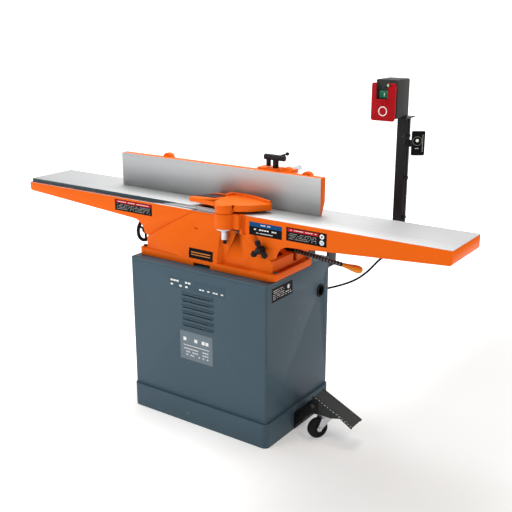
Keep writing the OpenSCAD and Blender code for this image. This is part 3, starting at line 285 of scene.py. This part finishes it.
GREY = (0.056, 0.093, 0.121)
grey_sheet = powder_coat("grey_powder_coat", GREY)
dark_coat = powder_coat("black_powder_coat", (0.016, 0.016, 0.018), 0.38, gleam=0.10)
pedal_coat = powder_coat("worn_grey_enamel", (0.036, 0.038, 0.038), 0.5, 0.22)
print("powder coats", grey_sheet.name, dark_coat.name, pedal_coat.name)

# %% [markdown]
# The castings are enamelled orange, and their working faces are ground bright. The enamel lies over cast
# skin, so it is faintly pebbled. The ground faces carry fine lines along the stock's path, with faint wider
# bands from the grinding wheel's passes. One shader does both, and a mask in the casting's own coordinates
# says where the iron is bare.

ORANGE = (0.80, 0.126, 0.006)
ENAMEL_GLEAM = 0.05
# the slate colour of a painted shade on the outfeed table's ledge
SHADE_SLATE = (0.060, 0.088, 0.100)


# %% enamelled iron with ground faces
def ground_iron(k, along="x"):
    """Colour, roughness and height of ground iron with lines along one axis."""
    fine = {"x": (5, 1500, 1500), "y": (1500, 5, 1500)}[along]
    wide = {"x": (1.2, 60, 60), "y": (60, 1.2, 60)}[along]
    lines = k.noise(1.0, 4, 0.7, k.stretched(*fine))
    bands = k.noise(1.0, 3, 0.6, k.stretched(*wide))
    bloom = k.noise(7, 4, 0.6)
    colour = k.mix(lines * 0.5 + bands * 0.3 + bloom * 0.2, (0.36, 0.365, 0.37), (0.60, 0.605, 0.61))
    return colour, 0.50 + 0.08 * bands + 0.08 * bloom, lines


def casting(name, bare=None, colour=ORANGE, dark=None):
    """Orange enamel, with bare ground iron where bare(x, y, z) is 1, and a painted shade in slate where dark(x, y, z)
    is 1.
    """
    k = Look(name)
    broad, skin, grit = k.noise(4.5, 3), k.noise(230, 3, 0.6), k.noise(900, 2, 0.5)
    tone = k.mix(broad, shade(colour, 0.93), shade(colour, 1.05))
    grime = k.noise(16, 5, 0.7).ease(0.60, 0.85)
    tone = k.mix(grime * 0.12, tone, (0.30, 0.06, 0.02))
    rough = 0.33 + 0.08 * (skin - 0.5) + 0.12 * grime
    height = skin * 0.7 + grit * 0.3
    if bare is None:
        return k.wear(colour=tone, rough=rough, specular=ENAMEL_GLEAM, normal=k.bump(height, 0.20, 0.0006))
    mask = bare(*k.xyz())
    iron, iron_rough, lines = ground_iron(k)
    # where dark(x, y, z) is 1 the enamel turns slate: a painted shade
    if dark is not None:
        painted_shade = dark(*k.xyz())
        tone, mask = k.mix(painted_shade, tone, SHADE_SLATE), mask * (1 - painted_shade)
    return k.wear(colour=k.mix(mask, tone, iron), rough=rough * (1 - mask) + iron_rough * mask, metal=mask * 0.8,
                  specular=ENAMEL_GLEAM,
                  normal=k.bump(height * (1 - mask) * 1.0 + lines * mask * 0.16, 0.20, 0.0006))


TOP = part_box("outfeed_table")[1].z
LEDGE = 0.014
top_bare = lambda x, y, z: z > TOP - 0.0011
ledge_bare = lambda x, y, z: (z > TOP - 0.0011).most((z > TOP - LEDGE - 0.0008) * (y < -0.1322))
base_bare = lambda x, y, z: ((z > TOP - 0.0019) * (y > -0.1335)).most(
    (z > TOP - LEDGE - 0.0015) * (y < -0.126) * (x < 0.0434))
# painted shade: the ledge is coloured slate up to a slanted end, for the shade that lies on it, and its front edge
# stays bright
ledge_painted_shade = lambda x, y, z: (z < TOP - 0.0006) * (z > TOP - LEDGE - 0.0008) * y.between(-0.1444, -0.1322) * (
    x - 2.04 * (y + 0.146) - 5.68 * (z - TOP + LEDGE) < -0.240)
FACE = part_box("fence")[0].y
fence_bare = lambda x, y, z: (y < FACE + 0.0007)
orange = casting("orange_enamel")
orange_outfeed = casting("orange_enamel_ledged", ledge_bare, dark=ledge_painted_shade)
orange_infeed = casting("orange_enamel_topped", top_bare)
orange_base = casting("orange_enamel_bed", base_bare)
orange_fence = casting("orange_enamel_faced", fence_bare)
print("table top at", round(TOP, 4), "fence face at", round(FACE, 4))

# %% [markdown]
# Turned and plated steel: bright, a little streaked round its length, with a soft bloom of handling.


# %% bright metals
def steel(name, light=0.62, rough=0.28, streak=900, metal=1.0, tint=(1.0, 1.0, 1.0)):
    k = Look(name)
    lines = k.noise(1.0, 3, 0.6, k.stretched(streak, streak * 0.2, streak))
    bloom = k.noise(24, 4, 0.6)
    dark, bright = [tuple(light * f * t for t in tint) for f in (0.72, 1.08)]
    return k.wear(colour=k.mix(lines * 0.5 + bloom * 0.5, dark, bright), metal=metal,
                  rough=rough + 0.14 * bloom, normal=k.bump(lines, 0.10, 0.0003))


bright_steel = steel("turned_steel")
zinc = steel("zinc_plate", 0.66, 0.34, 300, tint=(0.98, 1.0, 1.03))
chrome = steel("polished_bar", 0.80, 0.10, 200)
knife_steel = steel("knife_steel", 0.75, 0.18, 1500)
black_oxide = steel("black_oxide", 0.09, 0.40, 500)


def ringed(name, start, lean, low, high):
    """Black steel whose rings are painted pale where they stand more than low metres off a leaning axis: rubbed wear,
    and painted highlights on the ridges.
    """
    k = Look(name)
    x, y, z = k.xyz()
    off = (x - start[0]) * math.cos(lean) - (z - start[2]) * math.sin(lean)
    # pale ridges: partly rubbed wear, partly painted highlights
    rub_and_highlight = ((off * off + y * y) ** 0.5).ease(low, high)
    tone = k.mix(rub_and_highlight * (0.6 + 0.4 * k.noise(60, 3)), (0.006, 0.006, 0.007), (0.16, 0.16, 0.165))
    return k.wear(colour=tone, metal=0.5, rough=0.46 - 0.10 * rub_and_highlight, specular=0.12, normal=k.bump(k.noise(500), 0.1, 0.0003))


ringed_rod = ringed("ringed_black_rod", (0.240, 0.0, 0.681), math.radians(95.5), 0.0070, 0.0080)
print("metals", bright_steel.name, zinc.name, chrome.name, knife_steel.name, black_oxide.name)

# %% [markdown]
# Moulded plastic has a fine even grain and a skin that is glossier on buttons than on housings. Rubber is
# matt, with dust in its grain.


# %% plastics and rubber
def plastic(name, colour, rough=0.4, grain=700, depth=0.12, coat=0.0, dust=0.10, gleam=0.12):
    k = Look(name)
    fine, broad = k.noise(grain, 2, 0.5), k.noise(14, 3)
    tone = k.mix(broad, shade(colour, 0.88), shade(colour, 1.12))
    tone = k.mix(broad.ease(0.55, 0.85) * dust, tone, (0.35, 0.34, 0.33))
    return k.wear(colour=tone, rough=rough + 0.10 * (broad - 0.5) + 0.05 * fine, coat=coat, coat_rough=0.08, specular=gleam,
                  normal=k.bump(fine, depth, 0.0003))


black_plastic = plastic("black_moulding", (0.012, 0.012, 0.013), 0.42)
box_plastic = plastic("switch_housing", (0.038, 0.038, 0.038), 0.55, dust=0.04, gleam=0.08)
rubber = plastic("black_rubber", (0.010, 0.010, 0.011), 0.62, 450, 0.25)
tyre = plastic("solid_tyre", (0.013, 0.013, 0.014), 0.66, 260, 0.35, dust=0.18)
orange_grip = plastic("orange_grip", (0.80, 0.26, 0.020), 0.45, 500, 0.2, dust=0.04)
red = plastic("red_paddle", (0.36, 0.006, 0.010), 0.32, 600, 0.08, 0.0, 0.02, 0.04)
green = plastic("green_key", (0.004, 0.135, 0.060), 0.30, 600, 0.08, 0.05, 0.02, 0.12)
print("plastics", black_plastic.name, red.name, green.name)


def painted_lamp_glow(name):
    """A green lens with a painted glow: pale in its middle rings, with moulded rings round it."""
    k = Look(name)
    x, y, z = k.xyz()
    far = ((x - 0.541) ** 2 + (z - 1.247) ** 2) ** 0.5
    rings = (far * 2600).cos()
    # painted glow: the base colour is pale green in the middle and darker outward
    tone = k.mix(far.ease(0.0, 0.005), (0.62, 0.95, 0.60), (0.05, 0.50, 0.16))
    return k.wear(colour=tone, rough=0.14 + 0.05 * rings, coat=0.5, coat_rough=0.05,
                  normal=k.bump(rings, 0.2, 0.0002))


lens_green = painted_lamp_glow("green_lens")

# %% [markdown]
# The motor lead runs down the switch post, loops behind the stand and enters a gland in its back. Its
# points are those of the solid model, in metres, and a smooth path is carried through them.

# %% the motor lead
CABLE = np.array([
    [579, 242, 1134.9], [579, 242, 1100], [579, 242, 1050], [579, 242, 1000], [579, 242, 950],
    [579, 242, 900], [579, 242, 850], [579, 242, 800], [579, 242, 750], [579, 242, 715],
    [579, 242, 697], [578.6, 242, 680], [574, 242, 663], [561, 242, 650], [543, 242, 643],
    [523, 242, 637], [505, 242, 627], [488, 243, 611], [472, 244, 592], [454, 245, 571], [434, 246, 551],
    [412, 248, 532], [388, 250, 515], [360, 252, 499], [330, 255, 484], [302, 259, 471],
    [280, 264, 461], [264, 265, 455], [254, 257, 453], [250, 245, 455], [250, 232, 455]]) * MM
lead_path = smooth_path(CABLE, 6)
lead_length = float(np.linalg.norm(np.diff(lead_path, axis=0), axis=1).sum())
points, faces = tube(lead_path, 0.004, 16)
lead = new_piece("motor_lead", points, faces, "stand", rubber)
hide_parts("motor_cable")
print("motor lead", round(lead_length, 3), "m")

# %% [markdown]
# A casting has no knife edges. Each CAD piece that shows is copied, its loose triangles are joined, and a
# Bevel modifier rounds its edges by about what a file or a mould would leave.


# %% softened copies of the solid pieces
def softened(node, look, width, segments=2, angle=28.0):
    """A copy of a CAD node with joined triangles and edges rounded by width, in millimetres."""
    source = frame["nodes"][node]
    bm = bmesh.new()
    bm.from_mesh(source.data)
    bmesh.ops.remove_doubles(bm, verts=bm.verts, dist=2e-6)
    mesh = bpy.data.meshes.new(node + "_soft")
    bm.to_mesh(mesh)
    bm.free()
    mesh.materials.clear()
    mesh.materials.append(look)
    mesh.polygons.foreach_set("use_smooth", np.ones(len(mesh.polygons), bool))
    piece = bpy.data.objects.new(node + "_soft", mesh)
    bpy.context.scene.collection.objects.link(piece)
    bevel = piece.modifiers.new("edges", "BEVEL")
    bevel.width, bevel.segments, bevel.limit_method = width * MM, segments, "ANGLE"
    bevel.angle_limit, bevel.harden_normals, bevel.use_clamp_overlap = math.radians(angle), True, False
    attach(piece, BODY[node])
    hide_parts(node)
    return piece


SOFT = [
    ("cabinet_shell", grey_sheet, 0.6), ("cabinet_top", grey_sheet, 0.8), ("plinth", grey_sheet, 1.2),
    ("rear_panel", grey_sheet, 0.5), ("base_casting", orange_base, 1.0), ("outfeed_table", orange_outfeed, 0.9),
    ("infeed_table", orange_infeed, 0.9), ("guard", orange, 1.4), ("fence", orange_fence, 0.9),
    ("fence_carriage", orange, 0.6), ("fence_support", orange, 0.6), ("guard_spring_cup", zinc, 0.8),
    ("switch_box", box_plastic, 1.0), ("stop_paddle", red, 0.9), ("start_button", green, 0.8),
    ("pedal_bracket", dark_coat, 0.7), ("switch_post", dark_coat, 0.8),
    ("infeed_lock", black_plastic, 1.4), ("fence_lock", black_plastic, 1.2), ("belt_guard", black_plastic, 0.6),
    ("motor", dark_coat, 0.8), ("caster_fork", zinc, 0.5), ("caster_plate", zinc, 0.5),
    ("sign_plate", black_plastic, 0.4), ("dust_port", black_plastic, 0.6), ("fence_handle", chrome, 1.5),
    ("tilt_quadrant", bright_steel, 0.6), ("base_bolts", black_oxide, 0.6),
]
soft = {}
for node, look, width in SOFT:
    soft[node] = softened(node, look, width)
print("softened", len(soft), "pieces")

# %% [markdown]
# The pieces that are small, turned or hidden keep their solid shape and take a finish in their slots.

# %% finishes for the other solid pieces
PLAIN = {
    "panel_screws": zinc, "chip_chute": zinc, "side_grommet": rubber, "cable_gland": black_plastic,
    "bearing_housings": bright_steel, "ball_bearings": bright_steel, "table_gibs": bright_steel,
    "motor_bracket": dark_coat, "motor_pulley": bright_steel, "drive_belt": rubber, "lift_screw": bright_steel,
    "infeed_lever": ringed_rod, "cutterhead": bright_steel, "knives": knife_steel, "knife_gibs": black_oxide,
    "cutterhead_pulley": bright_steel, "guard_post": bright_steel, "guard_cap": rubber,
    "hinge_pins": bright_steel, "switch_lamp": lens_green, "cable_clips": rubber,
    "pedal_pin": black_oxide, "wheel_axles": zinc, "foot_pedal": pedal_coat,
}
for node, look in PLAIN.items():
    mesh = frame["nodes"][node].data
    for i in range(len(mesh.materials)):
        mesh.materials[i] = look
    if not mesh.materials:
        mesh.materials.append(look)
print("dressed", len(PLAIN), "solid pieces")

# %% [markdown]
# Turned pieces: the lever's grip swells towards its end like an egg, the handwheel is a torus with three
# shaped spokes, and each wheel is a crowned tyre with a recessed web and a raised hub, all in one finish.
# Each is one profile carried round an axis.

# %% the lever's grip
lean = math.radians(95.5)
LEVER = np.array([240.0, 0.0, 681.0])
rod_way = np.array([math.sin(lean), 0.0, math.cos(lean)])
s = np.linspace(0, 1, 26)
grip_r = 7.8 + 5.6 * (s * s * (3 - 2 * s))
profile = [[6.6, 238.8], [7.4, 238.8]] + np.stack([grip_r, 240 + 54 * s], axis=1).tolist()
profile += [[13.4 * math.cos(t) ** 0.8, 294 + 17.3 * math.sin(t)] for t in np.linspace(0.1, math.pi / 2, 12)]
points, faces = turned([[max(r, 0.0), d] for r, d in profile], LEVER, rod_way, 40)
grip = new_piece("lever_grip_egg", points, faces, "lever", orange_grip)
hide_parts("lever_grip")
print("grip", len(faces), "faces")


# %% [markdown]
# Each decal is a thin printed plate. Its pattern is plain bars, bands and discs, with no lettering, worked
# out from the plate's own U and V, which run from 0 to 1 across its face.


# %% printed plates
def printed(name, ground, marks, rough=0.35):
    """A print: ground colour, then each (mask, colour) laid over it. A mask is a sum of U and V."""
    k = Look(name)
    u, v = k.uv()
    tone = k.mix(k.noise(60, 3), shade(ground, 0.9), shade(ground, 1.1))
    for mask, ink in marks:
        tone = k.mix(mask(k, u, v), tone, ink)
    return k.wear(colour=tone, rough=rough + 0.1 * k.noise(40, 3), specular=0.05,
                  normal=k.bump(k.noise(300, 2), 0.06, 0.0002))


def block(u0, u1, v0, v1):
    """1 inside a rectangle of the plate."""
    return lambda k, u, v: u.between(u0, u1) * v.between(v0, v1)


def lines_of_dashes(u0, u1, v0, v1, rows, cols, seed):
    """Rows of short dashes: cells of a grid, some left blank by a cell noise, each dash filling part of its cell."""
    def mask(k, u, v):
        a, b = (u - u0) / (u1 - u0) * cols, (v - v0) / (v1 - v0) * rows
        cell = k.node("ShaderNodeCombineXYZ", {}, {0: a.floor() + seed, 1: b.floor(), 2: 0.0})
        on = k.node("ShaderNodeTexWhiteNoise", {"noise_dimensions": "3D"}, {"Vector": cell}) > 0.22
        return on * (a.fract() < 0.8) * b.fract().between(0.3, 0.72) * u.between(u0, u1) * v.between(v0, v1)
    return mask


def disc(cu, cv, r, wide, ring=0.0):
    """A disc, or a ring where ring is its inner share, on a plate wide times as broad as it is high."""
    def mask(k, u, v):
        far = (((u - cu) * wide) ** 2 + (v - cv) ** 2) ** 0.5
        return (far < r) * (far > r * ring)
    return mask


def plate(name, body, look, corner, across, up, thick=0.35, rows=6, cols=12, bend=None):
    """A thin plate from its lower left corner: points corner + u across + v up, in millimetres, with a
    second layer behind them by the thickness. bend moves the points, to follow a curved or folded face."""
    corner, across, up = [np.asarray(a, float) for a in (corner, across, up)]
    out = np.cross(across, up)
    out /= np.linalg.norm(out)
    u, v = np.meshgrid(np.linspace(0, 1, cols), np.linspace(0, 1, rows), indexing="ij")
    face = corner + u[..., None] * across + v[..., None] * up
    face = bend(face) if bend else face
    front, back = face + out * thick, face
    both = np.concatenate([front.reshape(-1, 3), back.reshape(-1, 3)]) * MM
    n = cols * rows
    quads = grid_faces(cols, rows)
    rim = [i * rows for i in range(cols)] + [(cols - 1) * rows + j for j in range(1, rows)]
    rim += [i * rows + rows - 1 for i in range(cols - 2, -1, -1)] + list(range(rows - 2, 0, -1))
    walls = [[rim[i], rim[(i + 1) % len(rim)], rim[(i + 1) % len(rim)] + n, rim[i] + n] for i in range(len(rim))]
    faces = quads.tolist() + (quads[:, ::-1] + n).tolist() + walls
    near, grid_uv = face.reshape(-1, 3), np.stack([u.ravel(), v.ravel()], axis=1)
    to_uv = lambda p: grid_uv[np.argmin(((p[:, None] / MM - near) ** 2).sum(axis=2), axis=1)]
    piece = new_piece(name, both, faces, body, look, uv=to_uv, smooth=False)
    return piece


WHITE, INK, HEAD_RED, HEAD_BLUE = (0.80, 0.80, 0.78), (0.004, 0.004, 0.005), (0.48, 0.012, 0.022), (0.004, 0.065, 0.20)
FRONT = -146.0
caution = printed("print_caution", INK, [
    (block(0.04, 0.80, 0.70, 0.92), HEAD_RED), (lines_of_dashes(0.10, 0.76, 0.76, 0.88, 1, 14, 3), WHITE),
    (lines_of_dashes(0.06, 0.76, 0.12, 0.62, 4, 22, 11), (0.27, 0.27, 0.26)),
    (disc(0.885, 0.72, 0.18, 3.3), WHITE), (disc(0.885, 0.72, 0.07, 3.3), INK),
    (disc(0.885, 0.28, 0.18, 3.3), WHITE), (disc(0.885, 0.28, 0.10, 3.3, 0.6), (0.1, 0.2, 0.5))])
caution_plain = printed("print_caution_plain", INK, [
    (block(0.03, 0.97, 0.70, 0.94), HEAD_RED), (lines_of_dashes(0.08, 0.92, 0.76, 0.88, 1, 18, 5), WHITE),
    (lines_of_dashes(0.05, 0.95, 0.10, 0.64, 4, 30, 17), (0.27, 0.27, 0.26))])
guide = printed("print_guide", INK, [
    (block(0.0, 1.0, 0.66, 1.0), HEAD_BLUE), (lines_of_dashes(0.36, 0.66, 0.74, 0.92, 1, 6, 7), WHITE),
    (lines_of_dashes(0.15, 0.85, 0.34, 0.58, 1, 9, 9), WHITE),
    (lines_of_dashes(0.22, 0.80, 0.10, 0.28, 1, 16, 13), (0.6, 0.6, 0.6))])
plate("outfeed_label", "outfeed", caution_plain, (-436, FRONT - 0.05, 753), (187, 0, 0), (0, 0, 43))
plate("infeed_guide", "infeed", guide, (191, FRONT - 0.05, 755), (132, 0, 0), (0, 0, 45))
plate("infeed_label", "infeed", caution, (340, FRONT - 0.05, 757), (153, 0, 0), (0, 0, 46))
lean_front = lambda p: p + np.stack([0 * p[..., 0], np.clip((p[..., 2] - 650) / 140, 0, 1) * 20, 0 * p[..., 0]], axis=-1)
name_print = printed("print_bars", INK, [(block(0.10, 0.90, 0.34, 0.42), (0.80, 0.25, 0.05)),
                                         (block(0.10, 0.90, 0.58, 0.66), (0.80, 0.25, 0.05))])
plate("bed_plate", "stand", name_print, (-61, -166.05, 633), (108, 0, 0), (0, 0, 37), bend=lean_front)
side_print = printed("print_side", INK, [
    (lines_of_dashes(0.06, 0.60, 0.14, 0.86, 5, 16, 23), (0.5, 0.5, 0.5)),
    (disc(0.80, 0.66, 0.15, 2.6), WHITE), (lines_of_dashes(0.66, 0.95, 0.12, 0.42, 2, 7, 29), WHITE)])
plate("side_label", "stand", side_print, (305.65, -178, 537), (0, 130, 0), (0, 0, 50))
wing_print = printed("print_wing", INK, [
    (block(0.05, 0.95, 0.74, 0.90), (0.16, 0.008, 0.010)),
    (lines_of_dashes(0.06, 0.94, 0.10, 0.64, 4, 18, 31), (0.13, 0.12, 0.12))])
pull_in = lambda p: p + WARP * (((p[..., :2] - [-70, -116]) @ SKEW).prod(axis=-1))[..., None]
WARP, SKEW = np.array([-23.0, -16.0, 0.0]), np.linalg.inv([[83.0, 11.0], [41.0, 72.0]])
plate("guard_label", "guard_arm", wing_print, (-70, -116, 849.05), (83, 11, 0), (41, 72, 0), bend=pull_in)
print("plates made")

# %% [markdown]
# Small signs: a ring on the stop paddle, a bar on the start key, and a plain sign on the post's plate.

# %% small signs
ring_print = printed("print_ring", (0.36, 0.006, 0.010), [(disc(0.5, 0.5, 0.36, 1.0, 0.80), WHITE)], 0.3)
plate("paddle_ring", "paddle", ring_print, (508, 138.55, 1142), (44, 0, 0), (0, 0, 44), thick=0.2)
key_print = printed("print_key", (0.004, 0.135, 0.060), [(block(0.42, 0.58, 0.12, 0.88), WHITE)], 0.3)
plate("key_bar", "button", key_print, (521, 150.55, 1209), (14, 0, 0), (0, 0, 16), thick=0.2)
turn = np.array([math.cos(math.radians(35)), math.sin(math.radians(35)), 0])
face_out = np.array([turn[1], -turn[0], 0])
sign_print = printed("print_sign", INK, [
    (disc(0.42, 0.60, 0.20, 0.53, 0.93), (0.25, 0.25, 0.25)), (disc(0.42, 0.62, 0.07, 0.53), WHITE),
    (block(0.25, 0.55, 0.26, 0.29), (0.5, 0.5, 0.5)), (block(0.84, 0.88, 0.12, 0.88), (0.35, 0.35, 0.35))])
plate("sign_print", "stand", sign_print, np.array([607.7, 262.8, 1049]) + 2.45 * face_out - 21 * turn - [0, 0, 39],
      42 * turn, (0, 0, 78), thick=0.2)
print("small signs made")

# %% [markdown]
# The stand's front carries a paler printed panel and a few plain bars above the louvres.

# %% prints on the stand's front
DOOR = -209.75
panel_print = printed("print_panel", (0.16, 0.20, 0.23), [
    (lines_of_dashes(0.10, 0.90, 0.58, 0.86, 1, 7, 41), WHITE), (block(0.10, 0.90, 0.50, 0.52), WHITE),
    (lines_of_dashes(0.12, 0.88, 0.12, 0.44, 3, 12, 43), (0.6, 0.62, 0.63))], 0.45)
plate("stand_panel", "stand", panel_print, (-75, DOOR, 255), (149, 0, 0), (0, 0, 111))
bars_print = printed("print_stand_bars", GREY, [
    (lines_of_dashes(0.02, 0.40, 0.10, 0.90, 2, 7, 47), WHITE), (lines_of_dashes(0.50, 0.98, 0.2, 0.5, 1, 10, 53), WHITE)], 0.45)
plate("stand_bars", "stand", bars_print, (-118, DOOR, 524), (250, 0, 0), (0, 0, 40))
print("stand prints made")

# %% [markdown]
# The handwheel and the three wheels are turned shapes, each from one profile.


# %% handwheel
def torus(centre, axis, big, small, sides=72, rounds=20):
    """A ring: centre + (big + small cos b)(cos a u + sin a v) + small sin b axis."""
    b = np.linspace(0, 2 * np.pi, rounds + 1)
    return turned(np.stack([big + small * np.cos(b), small * np.sin(b)], axis=1), centre, axis, sides)


def joined(parts):
    """Several grids as one list of points and faces."""
    points, faces, base = [], [], 0
    for p, f in parts:
        points.append(p)
        faces += [[i + base for i in q] for q in f]
        base += len(p)
    return np.concatenate(points), faces


HUB = np.array([-338.0, -88.0, 677.0])
parts = [torus(HUB, (1, 0, 0), 41, 6.8), turned([[0, -8], [9, -8], [13, -6.5], [15, -3], [15, 14], [13, 18], [9.02, 18], [9.02, 4], [0, 4]], HUB, (1, 0, 0))]
for a in (30, 150, 270):
    way = np.array([0, math.cos(math.radians(a)), math.sin(math.radians(a))])
    parts.append(turned([[0, 11], [6.2, 11.5], [4.8, 18], [4.4, 28], [5.2, 38], [0, 40]], HUB, way, 24))
points, faces = joined(parts)
wheel = new_piece("handwheel_rim", points, faces, "lift", black_plastic)
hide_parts("handwheel")
print("handwheel", len(faces), "faces")


# %% wheels
def road_wheel(name, node, body, centre, axis, r, w):
    """A wheel: crowned solid tyre, recessed web and a raised hub, as one closed turned profile."""
    h = w / 2
    t = np.linspace(-1, 1, 13)
    tread = np.stack([r - 1.6 * t**4 * 1.6, h * t * 0.97], axis=1).tolist()
    side = [[r - 6, h], [r - 11, h - 0.6], [r - 12, h - 2.2], [10.5, h - 4.5], [9.6, h - 1.2], [8.8, h + 0.9], [5.06, h + 0.9]]
    other = [[a, -d] for a, d in side[::-1]]
    profile = other + tread + side + [other[0]]
    points, faces = turned(profile, centre, axis, 64)
    piece = new_piece(name, points, faces, body, tyre)
    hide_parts(node)
    return piece


angle = math.radians(240.5)
road_wheel("caster_tyre", "caster_wheel", "wheel_caster", (430 + 34.5 * math.cos(angle), -6 + 34.5 * math.sin(angle), 39.5),
           (-math.sin(angle), math.cos(angle), 0), 38, 24)
road_wheel("front_tyre", "front_wheel", "wheel_front", (-262, -150, 26.5), (0, 1, 0), 25, 22)
road_wheel("rear_tyre", "rear_wheel", "wheel_rear", (-262, 150, 26.5), (0, 1, 0), 25, 22)
print("wheels made")

# %% [markdown]
# The pedal's bend is worn through to bright steel in a row of short rubs, one at each tooth of the tread.

# %% worn teeth along the pedal's front edge
slope = np.array([159.0, 0.0, -76.0]) / math.hypot(159, 76)
worn = [turned([[0, 0], [1.0, 0.8], [1.2, 3.0], [1.0, 5.2], [0, 6]], np.array([391.5, -29.8, 153.4]) + (8 + 13.2 * i) * slope,
               slope, 10) for i in range(13)]
points, faces = joined(worn)
teeth = new_piece("pedal_teeth", points, faces, "pedal", zinc)
print("pedal teeth", len(faces), "faces")

# %% [markdown]
# A pale floor, with a painted shade on it to the right of the machine, and soft light: a wide lamp above and in front,
# one on the right, and a bright even room.

# %% floor and light
size = 30.0
floor_mesh = bpy.data.meshes.new("floor")
floor_mesh.from_pydata([(-size, -size, 0), (size, -size, 0), (size, size, 0), (-size, size, 0)], [], [(0, 1, 2, 3)])
floor = bpy.data.objects.new("floor", floor_mesh)
bpy.context.scene.collection.objects.link(floor)
floor_look = Look("floor_paper")
fx, fy, fz = floor_look.xyz()
far_white = floor_look.mix(((fx * fx + fy * fy) ** 0.5).ease(0.8, 3.5), (0.30, 0.30, 0.30), (0.90, 0.90, 0.90))
# painted shade: the floor is made up to about half as light to the right of the machine, from x = 0 out to about 2.2 m
painted_floor_shade = 1 - 0.48 * fx.ease(0.0, 0.7) * (1 - fx.ease(0.9, 2.2))
paper = floor_look.mix(floor_look.noise(3, 2), (0.93, 0.93, 0.93), (0.96, 0.96, 0.96))
floor_mesh.materials.append(floor_look.wear(colour=floor_look.mix(painted_floor_shade, (0.0, 0.0, 0.0), paper), rough=0.9,
                                            glow=far_white, glow_strength=1.0))
world = bpy.data.worlds.new("room")
bpy.context.scene.world = world
world.use_nodes = True
sky = world.node_tree
towards = sky.nodes.new("ShaderNodeTexCoord")
across = sky.nodes.new("ShaderNodeVectorMath")
across.operation = "DOT_PRODUCT"
across.inputs[1].default_value = (-0.57, 0.82, 0.0)
spread = sky.nodes.new("ShaderNodeMapRange")
spread.interpolation_type = "SMOOTHSTEP"
spread.inputs[1].default_value, spread.inputs[2].default_value = -1.0, 1.0
tones = sky.nodes.new("ShaderNodeMix")
tones.data_type = "RGBA"
tones.inputs[6].default_value, tones.inputs[7].default_value = (0.20, 0.21, 0.22, 1.0), (1.05, 1.05, 1.05, 1.0)
sky.links.new(towards.outputs["Generated"], across.inputs[0])
sky.links.new(across.outputs["Value"], spread.inputs[0])
sky.links.new(spread.outputs[0], tones.inputs[0])
sky.links.new(tones.outputs[2], sky.nodes["Background"].inputs[0])
sky.nodes["Background"].inputs[1].default_value = 1.0


def lamp(name, where, target, wide, power, tint=(1.0, 1.0, 1.0)):
    """A square area lamp at a place, aimed at a target."""
    data = bpy.data.lights.new(name, "AREA")
    data.shape, data.size, data.energy, data.color = "SQUARE", wide, power, tint
    lit = bpy.data.objects.new(name, data)
    lit.location = where
    way = np.array(target, float) - np.array(where, float)
    lit.rotation_euler = (math.atan2(math.hypot(way[0], way[1]), -way[2]), 0, math.atan2(way[1], way[0]) - math.pi / 2)
    bpy.context.scene.collection.objects.link(lit)


lamp("key", (-1.6, -3.4, 2.6), (0, 0, 0.6), 2.0, 56)
lamp("top", (-0.3, 0.6, 2.9), (0, 0, 0.8), 1.6, 62)
lamp("end", (2.1, -0.3, 2.3), (0.91, -0.03, 0.79), 0.4, 12.0, (1.0, 0.90, 0.66))
bpy.context.scene.view_settings.view_transform = "Standard"
print("lit")
